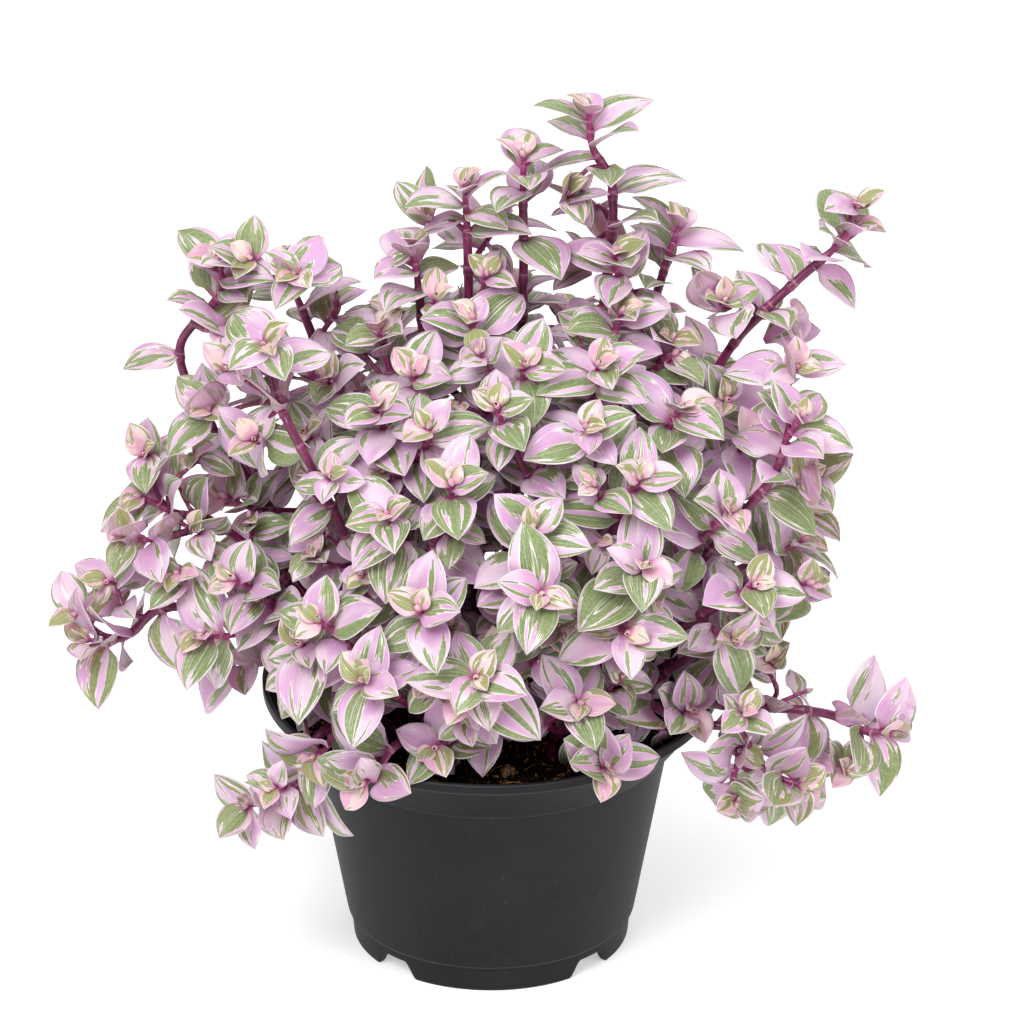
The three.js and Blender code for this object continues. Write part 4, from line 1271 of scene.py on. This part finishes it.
def notch_height(turn, radius):
    """How far the foot's lower edge rises at a heading, in each of the four notches."""
    aside = np.abs((turn - math.radians(NOTCH_TURN) + math.pi / 4) % (math.pi / 2) - math.pi / 4)
    share = (NOTCH_WIDE / 2 - radius * np.sin(aside)) / ((NOTCH_WIDE - NOTCH_FLAT) / 2)
    return NOTCH_HEIGHT * smooth(share)


POT_COLUMNS = 360
NOTCH_FLAT = 9  # the width of a notch's top, between its curved sides
POT_OUTLINE = [
    (FOOT_RADIUS - 2.0, FLOOR_BOTTOM, 0.3),
    (FOOT_RADIUS - 2.3, 0, 0.3),
    (FOOT_RADIUS, 0, 0.4),
    (FOOT_RADIUS + 0.9, FOOT_HEIGHT, 0.25),
    (FOOT_RADIUS + 2.1, FOOT_HEIGHT + 1.0, 0.6),
    (FOOT_RADIUS + 3.0, FOOT_HEIGHT + 5.5, 2.5),
    (60.6, COLLAR_Z - 0.9, 0.3),
    (62.1, COLLAR_Z - 0.3, 0.5),
    (66.5, 80, 2.0),
    (70.2, 85.2, 2.0),
    (75.4, 91.5, 0.9),
    (LIP_RADIUS - 0.1, 92.0, 0.5),
    (LIP_RADIUS, POT_HEIGHT, 0.55),
    (LIP_RADIUS - 1.8, POT_HEIGHT, 0.55),
    (74.6, 93, 1.0),
    (68.8, 86.3, 2.0),
    (65, 81, 2.0),
    (60.6, COLLAR_Z + 1.3, 1.5),
    (FOOT_RADIUS + 1, FOOT_HEIGHT + 3.8, 2.0),
    (FOOT_RADIUS - 0.6, FLOOR_TOP, 0.5),
]
# Heights of the lighter edge lines, painted highlights where the pot's edges would catch the light, and half
# the breadth of each
EDGE_HIGHLIGHTS = [0.3, FOOT_HEIGHT + 1.1, COLLAR_Z - 0.2, 92.2, POT_HEIGHT - 0.2]
EDGE_HALF = 0.28
SHADE_BAND = (COLLAR_Z + 0.2, COLLAR_Z + 2, 90, 91.8)  # the flared band fades in and out of a darker tone, painted shade that offsets the floor's light on its down-facing flare
POT_MIDDLE = (1.0, 30.0)  # radii of the rings inside the outline, on both faces of the floor
FOOT_SPLAY = 0.9  # how much wider and narrower the foot's two faces are at its top
FOOT_TAPER = 0.3


def add_turned(mesh, rows):
    """A closed body of rings, from the middle of its underside to the middle of its top."""
    columns = len(rows[0])
    fan = fan_quads(columns)
    quads = [grid_quads(len(rows), columns, wrap=True), fan[:, ::-1], fan + (len(rows) - 1) * columns]
    mesh.add(np.concatenate(rows), np.concatenate(quads))


def pot_mesh(mesh):
    under = [(radius, FLOOR_BOTTOM) for radius in POT_MIDDLE]
    above = [(radius, FLOOR_TOP) for radius in reversed(POT_MIDDLE)]
    section = np.vstack([under, rounded(POT_OUTLINE), above])
    turns = np.linspace(0, CIRCLE, POT_COLUMNS, endpoint=False) - math.pi / 2
    rows = []
    for radius, height in section:
        rise = notch_height(turns + math.pi / 2, radius) if height < 1 else 0 * turns
        reach = radius + rise * FOOT_SPLAY / FOOT_HEIGHT
        if height < 1 and radius < FOOT_RADIUS - 1.2:
            reach = radius - rise * FOOT_TAPER / FLOOR_BOTTOM
        rows.append(ring_points(reach, height + rise, turns))
    add_turned(mesh, rows)


def cut_drains(pot, axis):
    """Four holes through the pot's floor, beside the notches in its foot."""
    middle = (DRAIN_INNER + DRAIN_OUTER) / 2
    for quarter in range(4):
        turn = math.radians(NOTCH_TURN + 90 * quarter) - math.pi / 2
        bpy.ops.mesh.primitive_cube_add(size=1)
        box = bpy.context.object
        box.scale = ((DRAIN_OUTER - DRAIN_INNER) * MM, DRAIN_WIDTH * MM, DRAIN_TALL * MM)
        box.rotation_euler = (0, 0, turn)
        place = axis + [middle * math.cos(turn), middle * math.sin(turn), FLOOR_TOP - 0.5]
        box.location = place * MM
        bpy.context.view_layer.update()
        cut = pot.modifiers.new("drain", "BOOLEAN")
        cut.operation = "DIFFERENCE"
        cut.object = box
        cut.solver = "EXACT"
        bpy.context.view_layer.objects.active = pot
        bpy.ops.object.modifier_apply(modifier=cut.name)
        bpy.data.objects.remove(box)


# ---------------------------------------------------------------- soil

SOIL_COLUMNS = 150
SOIL_RINGS = 62
SOIL_BODY = [(1, FLOOR_TOP + GAP), (FOOT_RADIUS - 1.2, FLOOR_TOP + GAP),
             (FOOT_RADIUS + 0.5, FOOT_HEIGHT + 4), (60, COLLAR_Z + 1.4), (64.4, 81.2), (SOIL_EDGE, 85.6)]
SOIL_BUMPS = [(1.1, 9, 3), (0.7, 3.2, 7), (0.35, 1.3, 11)]  # height, breadth and layer of the noise
SOIL_PAINT, FIBRE_PAINT, GRIT_PAINT = 0, 1, 2
CRUMBS = 3000
GOLDEN_CRUMBS = 0.34
GOLDEN_MOST = 0.8  # the size of the largest
FIBRES = 240
FIBRE_ROWS = 6
GRIT_PLACE = (5.8, -54.0)
GRIT_SIZE = 2.2
GRIT_CRUMBS = 60
LUMP_ROWS = 6
LUMP_COLUMNS = 8


def soil_level(x, y):
    radius = math.hypot(x, y)
    level = SOIL_TOP + SOIL_MOUND * (1 - (radius / SOIL_EDGE) ** 2)
    first, second, third = (rise * noise.noise(Vector((x / wide, y / wide, layer)))
                            for rise, wide, layer in SOIL_BUMPS)
    return level + first + (second + third)


def soil_mesh(mesh):
    turns = np.linspace(0, CIRCLE, SOIL_COLUMNS, endpoint=False)
    rows = [ring_points(radius, height, turns) for radius, height in SOIL_BODY]
    for ring in range(1, SOIL_RINGS + 1):
        row = ring_points(1 + (SOIL_EDGE - 1) * (1 - ring / SOIL_RINGS), 0, turns)
        row[:, 2] = [soil_level(x, y) for x, y, _ in row]
        rows.append(row)
    add_turned(mesh, rows)


def tube_quads(rows, columns):
    """Faces of a tube of rings with both ends closed."""
    first = fan_quads(columns)[:, [0, 3, 2, 1]]
    last = fan_quads(columns, (rows - 1) * columns)
    return np.concatenate([grid_quads(rows, columns, wrap=True), first, last])


LUMP_QUADS = tube_quads(LUMP_ROWS, LUMP_COLUMNS)
FIBRE_QUADS = tube_quads(FIBRE_ROWS, 4)


def lump_points(rng, size):
    """A lump as a small rough ball of rings."""
    turns = np.linspace(0, CIRCLE, LUMP_COLUMNS, endpoint=False)
    turn, climb = np.meshgrid(turns, np.linspace(-1.45, 1.45, LUMP_ROWS))
    ball = np.stack([np.cos(climb) * np.cos(turn), np.cos(climb) * np.sin(turn), np.sin(climb)], 2)
    ball = ball * rng.uniform(0.72, 1.15, (LUMP_ROWS, LUMP_COLUMNS, 1)) * rng.uniform(0.6, 1.2, 3) * size
    return ball.reshape(-1, 3)


def spot(rng, margin):
    """A random place on the soil, at least the margin from its edge."""
    radius = (SOIL_EDGE - margin) * math.sqrt(rng.uniform())
    turn = rng.uniform(0, CIRCLE)
    return radius * math.cos(turn), radius * math.sin(turn)


def add_crumb(mesh, rng):
    x, y = spot(rng, 1.5)
    size = 0.3 + 1.0 * rng.uniform() ** 2.6
    points = lump_points(rng, size) + vector(x, y, soil_level(x, y) + 0.25 * size)
    golden = rng.uniform() < GOLDEN_CRUMBS and size < GOLDEN_MOST
    mesh.add(points, LUMP_QUADS, FIBRE_PAINT if golden else SOIL_PAINT)


def add_grit(mesh, rng):
    """One rough lump: a ball with crumbs all over it."""
    x, y = GRIT_PLACE
    grit = vector(x, y, soil_level(x, y) + 1.3)
    mesh.add(lump_points(rng, GRIT_SIZE) + grit, LUMP_QUADS, GRIT_PAINT)
    for _ in range(GRIT_CRUMBS):
        out = unit(rng.normal(size=3))
        place = grit + out * [1, 1, 0.8] * GRIT_SIZE * rng.uniform(0.85, 1.1)
        mesh.add(lump_points(rng, rng.uniform(0.35, 0.75)) + place, LUMP_QUADS, GRIT_PAINT)


def add_fibre(mesh, rng):
    """A bowed, tapering sliver that lies on the soil."""
    x, y = spot(rng, 5)
    heading = rng.uniform(0, CIRCLE)
    length = rng.uniform(3, 10)
    thick = rng.uniform(0.12, 0.28)
    bow = rng.uniform(-0.4, 0.4)
    across = vector(-math.sin(heading), math.cos(heading), 0)
    points = []
    for step in range(FIBRE_ROWS):
        share = step / (FIBRE_ROWS - 1)
        ahead = (share - 0.5) * length
        px = x + ahead * math.cos(heading + bow * share)
        py = y + ahead * math.sin(heading + bow * share)
        centre = vector(px, py, soil_level(px, py) + 0.35 + 0.5 * math.sin(math.pi * share))
        side = across * thick * (1.1 - share)
        lift = UP * thick * (1.1 - share)
        points += [centre + side, centre + lift, centre - side, centre - lift]
    mesh.add(np.array(points), FIBRE_QUADS, FIBRE_PAINT)


def soil_bits(mesh, rng):
    for _ in range(CRUMBS):
        add_crumb(mesh, rng)
    add_grit(mesh, rng)
    for _ in range(FIBRES):
        add_fibre(mesh, rng)


# ---------------------------------------------------------------- the plant put together


def tube_cover(shoot):
    return np.array([shoot.path.at(d) for d in np.arange(0, shoot.path.length, 1.0)])


# Radius and height of the pot's upper wall, which nothing may cut
WALL = [(60.7, 74), (64, 78), (67, 81), (70, 85), (73, 89), (76, 92), (LIP_RADIUS, 94),
        (LIP_RADIUS, POT_HEIGHT), (75, 93), (70, 88)]
WALL_COLUMNS = 420


def empty_space(axis):
    """A map of the plant's room in which only the pot's wall is taken."""
    low, high = (np.array(corner) / MM - axis for corner in cad_box)
    space = Space(low - MAP_MARGIN, high + MAP_MARGIN)
    turns = np.linspace(0, CIRCLE, WALL_COLUMNS, endpoint=False)
    space.mark(np.concatenate([ring_points(radius, height, turns) for radius, height in WALL]), POT_MARK)
    return space


def turn_large_leaves(shoots, space):
    """Rolls the large leaves to the light, as far as they stay clear of each other and the stems."""
    leaves = [leaf for shoot in shoots for leaf in shoot.leaves]
    for shoot in shoots:
        space.mark(tube_cover(shoot), STEM_MARK)
    for label, leaf in enumerate(leaves, 1):
        leaf.turn_to_light(0)
        space.mark(leaf.cover(), label)
    for label, leaf in enumerate(leaves, 1):
        space.turn_blade(leaf, label)


def add_short_shoots(shoots, number, space):
    """One round of short shoots on a stem and its side shoots."""
    for parent in [shoot for shoot in shoots if shoot.keys[1] < ADDED]:
        places = np.arange(SHORT_STARTS[number], parent.path.length - FOOT_CLEAR, SHORT_STEP)
        for step, distance in enumerate(places):
            if any(abs(distance - fork) < SHORT_TO_FORK for fork in parent.forks):
                continue
            key = 100 * parent.keys[1] + 3 * step + number
            shoot = short_shoot(parent, float(distance), key, space)
            if shoot:
                shoots.append(shoot)


def grow_plant(axis):
    """Every stem with its shoots and leaves, large ones first, then what is added where there is room."""
    stems = all_stems()
    plant = []
    for number, stem in enumerate(stems):
        corners = Corners(f"stem_{stem[0]}", axis)
        plant.append(stand_stem(number, stem, corners))
        for shoot in plant[-1]:
            shoot.owner_mark = 1 + 10 * number + shoot.keys[1]
            large_leaves(shoot, corners)
    grown = [shoot for shoots in plant for shoot in shoots]
    turn_large_leaves(grown, empty_space(axis))
    space = empty_space(axis)
    for shoot in grown:
        space.mark(tube_cover(shoot), shoot.owner_mark)
        for leaf in shoot.leaves:
            space.mark(leaf.cover(), shoot.owner_mark)
    for shoot in grown:
        shoot.nodes += shoot.forks
        dress_tip(shoot, 1.0, space)
    for shoot in grown:
        lower_leaves(shoot, space)
    for number, tip in enumerate(EXTRA_TIPS):
        shoot = extra_shoot(grown, number, seen(*tip), space)
        plant[shoot.owner].append(shoot)
    for number in range(len(SHORT_STARTS)):
        for shoots in plant:
            add_short_shoots(shoots, number, space)
    return stems, plant


def build_plant(axis):
    leaf = leaf_paint()
    stem = stem_paint()
    stems, plant = grow_plant(axis)
    for (name, _, _), shoots in zip(stems, plant):
        mesh = Mesh()
        for shoot in shoots:
            add_stem(mesh, shoot)
            size = BUD_SIZE if shoot.keys[1] < ADDED else SMALL_BUD_SIZE
            add_bud(mesh, shoot, size, draws(BUD_DRAW, *shoot.keys))
            for one in shoot.leaves:
                add_blade(mesh, one)
        piece = mesh.to_object(f"leafy_stem_{name}", [leaf, stem], axis)
        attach(piece, "root")
        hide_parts(f"stem_{name}")


def build_pot(axis):
    mesh = Mesh()
    pot_mesh(mesh)
    pot = mesh.to_object("nursery_pot", [pot_paint()], axis)
    cut_drains(pot, axis)
    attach(pot, "root")
    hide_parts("pot")


def build_soil(axis):
    mesh = Mesh()
    soil_mesh(mesh)
    soil_bits(mesh, np.random.default_rng(11))
    paints = [soil_paint(), plain_paint("fibre", "#8a5420", "#dba04a", 900, 0.8),
              plain_paint("grit", "#6b4c2c", "#dcb47c", 800, 0.9)]
    soil = mesh.to_object("compost", paints, axis)
    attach(soil, "root")
    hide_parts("soil")


# ---------------------------------------------------------------- camera, light and floor

PHOTO_SIDE = 1024
MM_PER_PIXEL = 0.34
AXIS_PIXEL = (491, 925)  # where the middle of the pot's foot shows
CAMERA_DISTANCE = 12000
SENSOR = 36
# Lights: name, place and size in metres, and power
LIGHTS = [
    ("key", (-0.6, -1.3, 1.7), 1.0, 34.5),
    ("fill", (1.2, -0.9, 0.9), 1.2, 10),
    ("top", (0, 0, 2.2), 1.6, 17),
    ("back", (0.3, 1.7, 1.3), 1.6, 13),
]
LIGHT_TARGET = (0, 0, 0.15)
WORLD_LIGHT = 0.3
FLOOR_SIDE = 12
FLOOR_GLOW = 0.47


def build_camera(axis):
    across = (PHOTO_SIDE / 2 - AXIS_PIXEL[0]) * MM_PER_PIXEL
    rise = (AXIS_PIXEL[1] - PHOTO_SIDE / 2) * MM_PER_PIXEL
    view_up = vector(0, math.sin(VIEW_TILT), math.cos(VIEW_TILT))
    back = vector(0, -math.cos(VIEW_TILT), math.sin(VIEW_TILT))
    target = axis + vector(across, 0, 0) + view_up * rise
    camera = bpy.data.objects.new("camera", bpy.data.cameras.new("camera"))
    camera.data.sensor_width = SENSOR
    camera.data.lens = SENSOR * CAMERA_DISTANCE / (PHOTO_SIDE * MM_PER_PIXEL)
    camera.data.clip_start = 0.05
    camera.location = (target + back * CAMERA_DISTANCE) * MM
    camera.rotation_euler = (math.pi / 2 - VIEW_TILT, 0, 0)
    bpy.context.scene.collection.objects.link(camera)
    bpy.context.scene.camera = camera


def build_light(name, place, size, power):
    lamp = bpy.data.lights.new(name, "AREA")
    lamp.size = size
    lamp.energy = power
    light = bpy.data.objects.new(name, lamp)
    light.location = place
    toward = Vector(LIGHT_TARGET) - Vector(place)
    light.rotation_euler = toward.to_track_quat("-Z", "Y").to_euler()
    bpy.context.scene.collection.objects.link(light)


def build_studio():
    world = bpy.data.worlds.new("studio")
    world.use_nodes = True
    background = world.node_tree.nodes["Background"]
    background.inputs["Color"].default_value = (1, 1, 1, 1)
    background.inputs["Strength"].default_value = WORLD_LIGHT
    bpy.context.scene.world = world
    bpy.context.scene.view_settings.view_transform = "Standard"
    bpy.ops.mesh.primitive_plane_add(size=FLOOR_SIDE)
    floor = bpy.context.object
    floor.name = "floor"
    paint = plain_paint("floor", "#e4e4e4", "#e6e6e6", 3, 0.9)
    shader = paint.node_tree.nodes["Principled BSDF"]
    shader.inputs["Emission Color"].default_value = (1, 1, 1, 1)
    shader.inputs["Emission Strength"].default_value = FLOOR_GLOW
    floor.data.materials.append(paint)
    for light in LIGHTS:
        build_light(*light)


low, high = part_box("pot")
axis = np.array([(low.x + high.x) / 2, (low.y + high.y) / 2, 0]) / MM
build_camera(axis)
build_studio()
build_pot(axis)
build_soil(axis)
build_plant(axis)

bpy.context.view_layer.update()
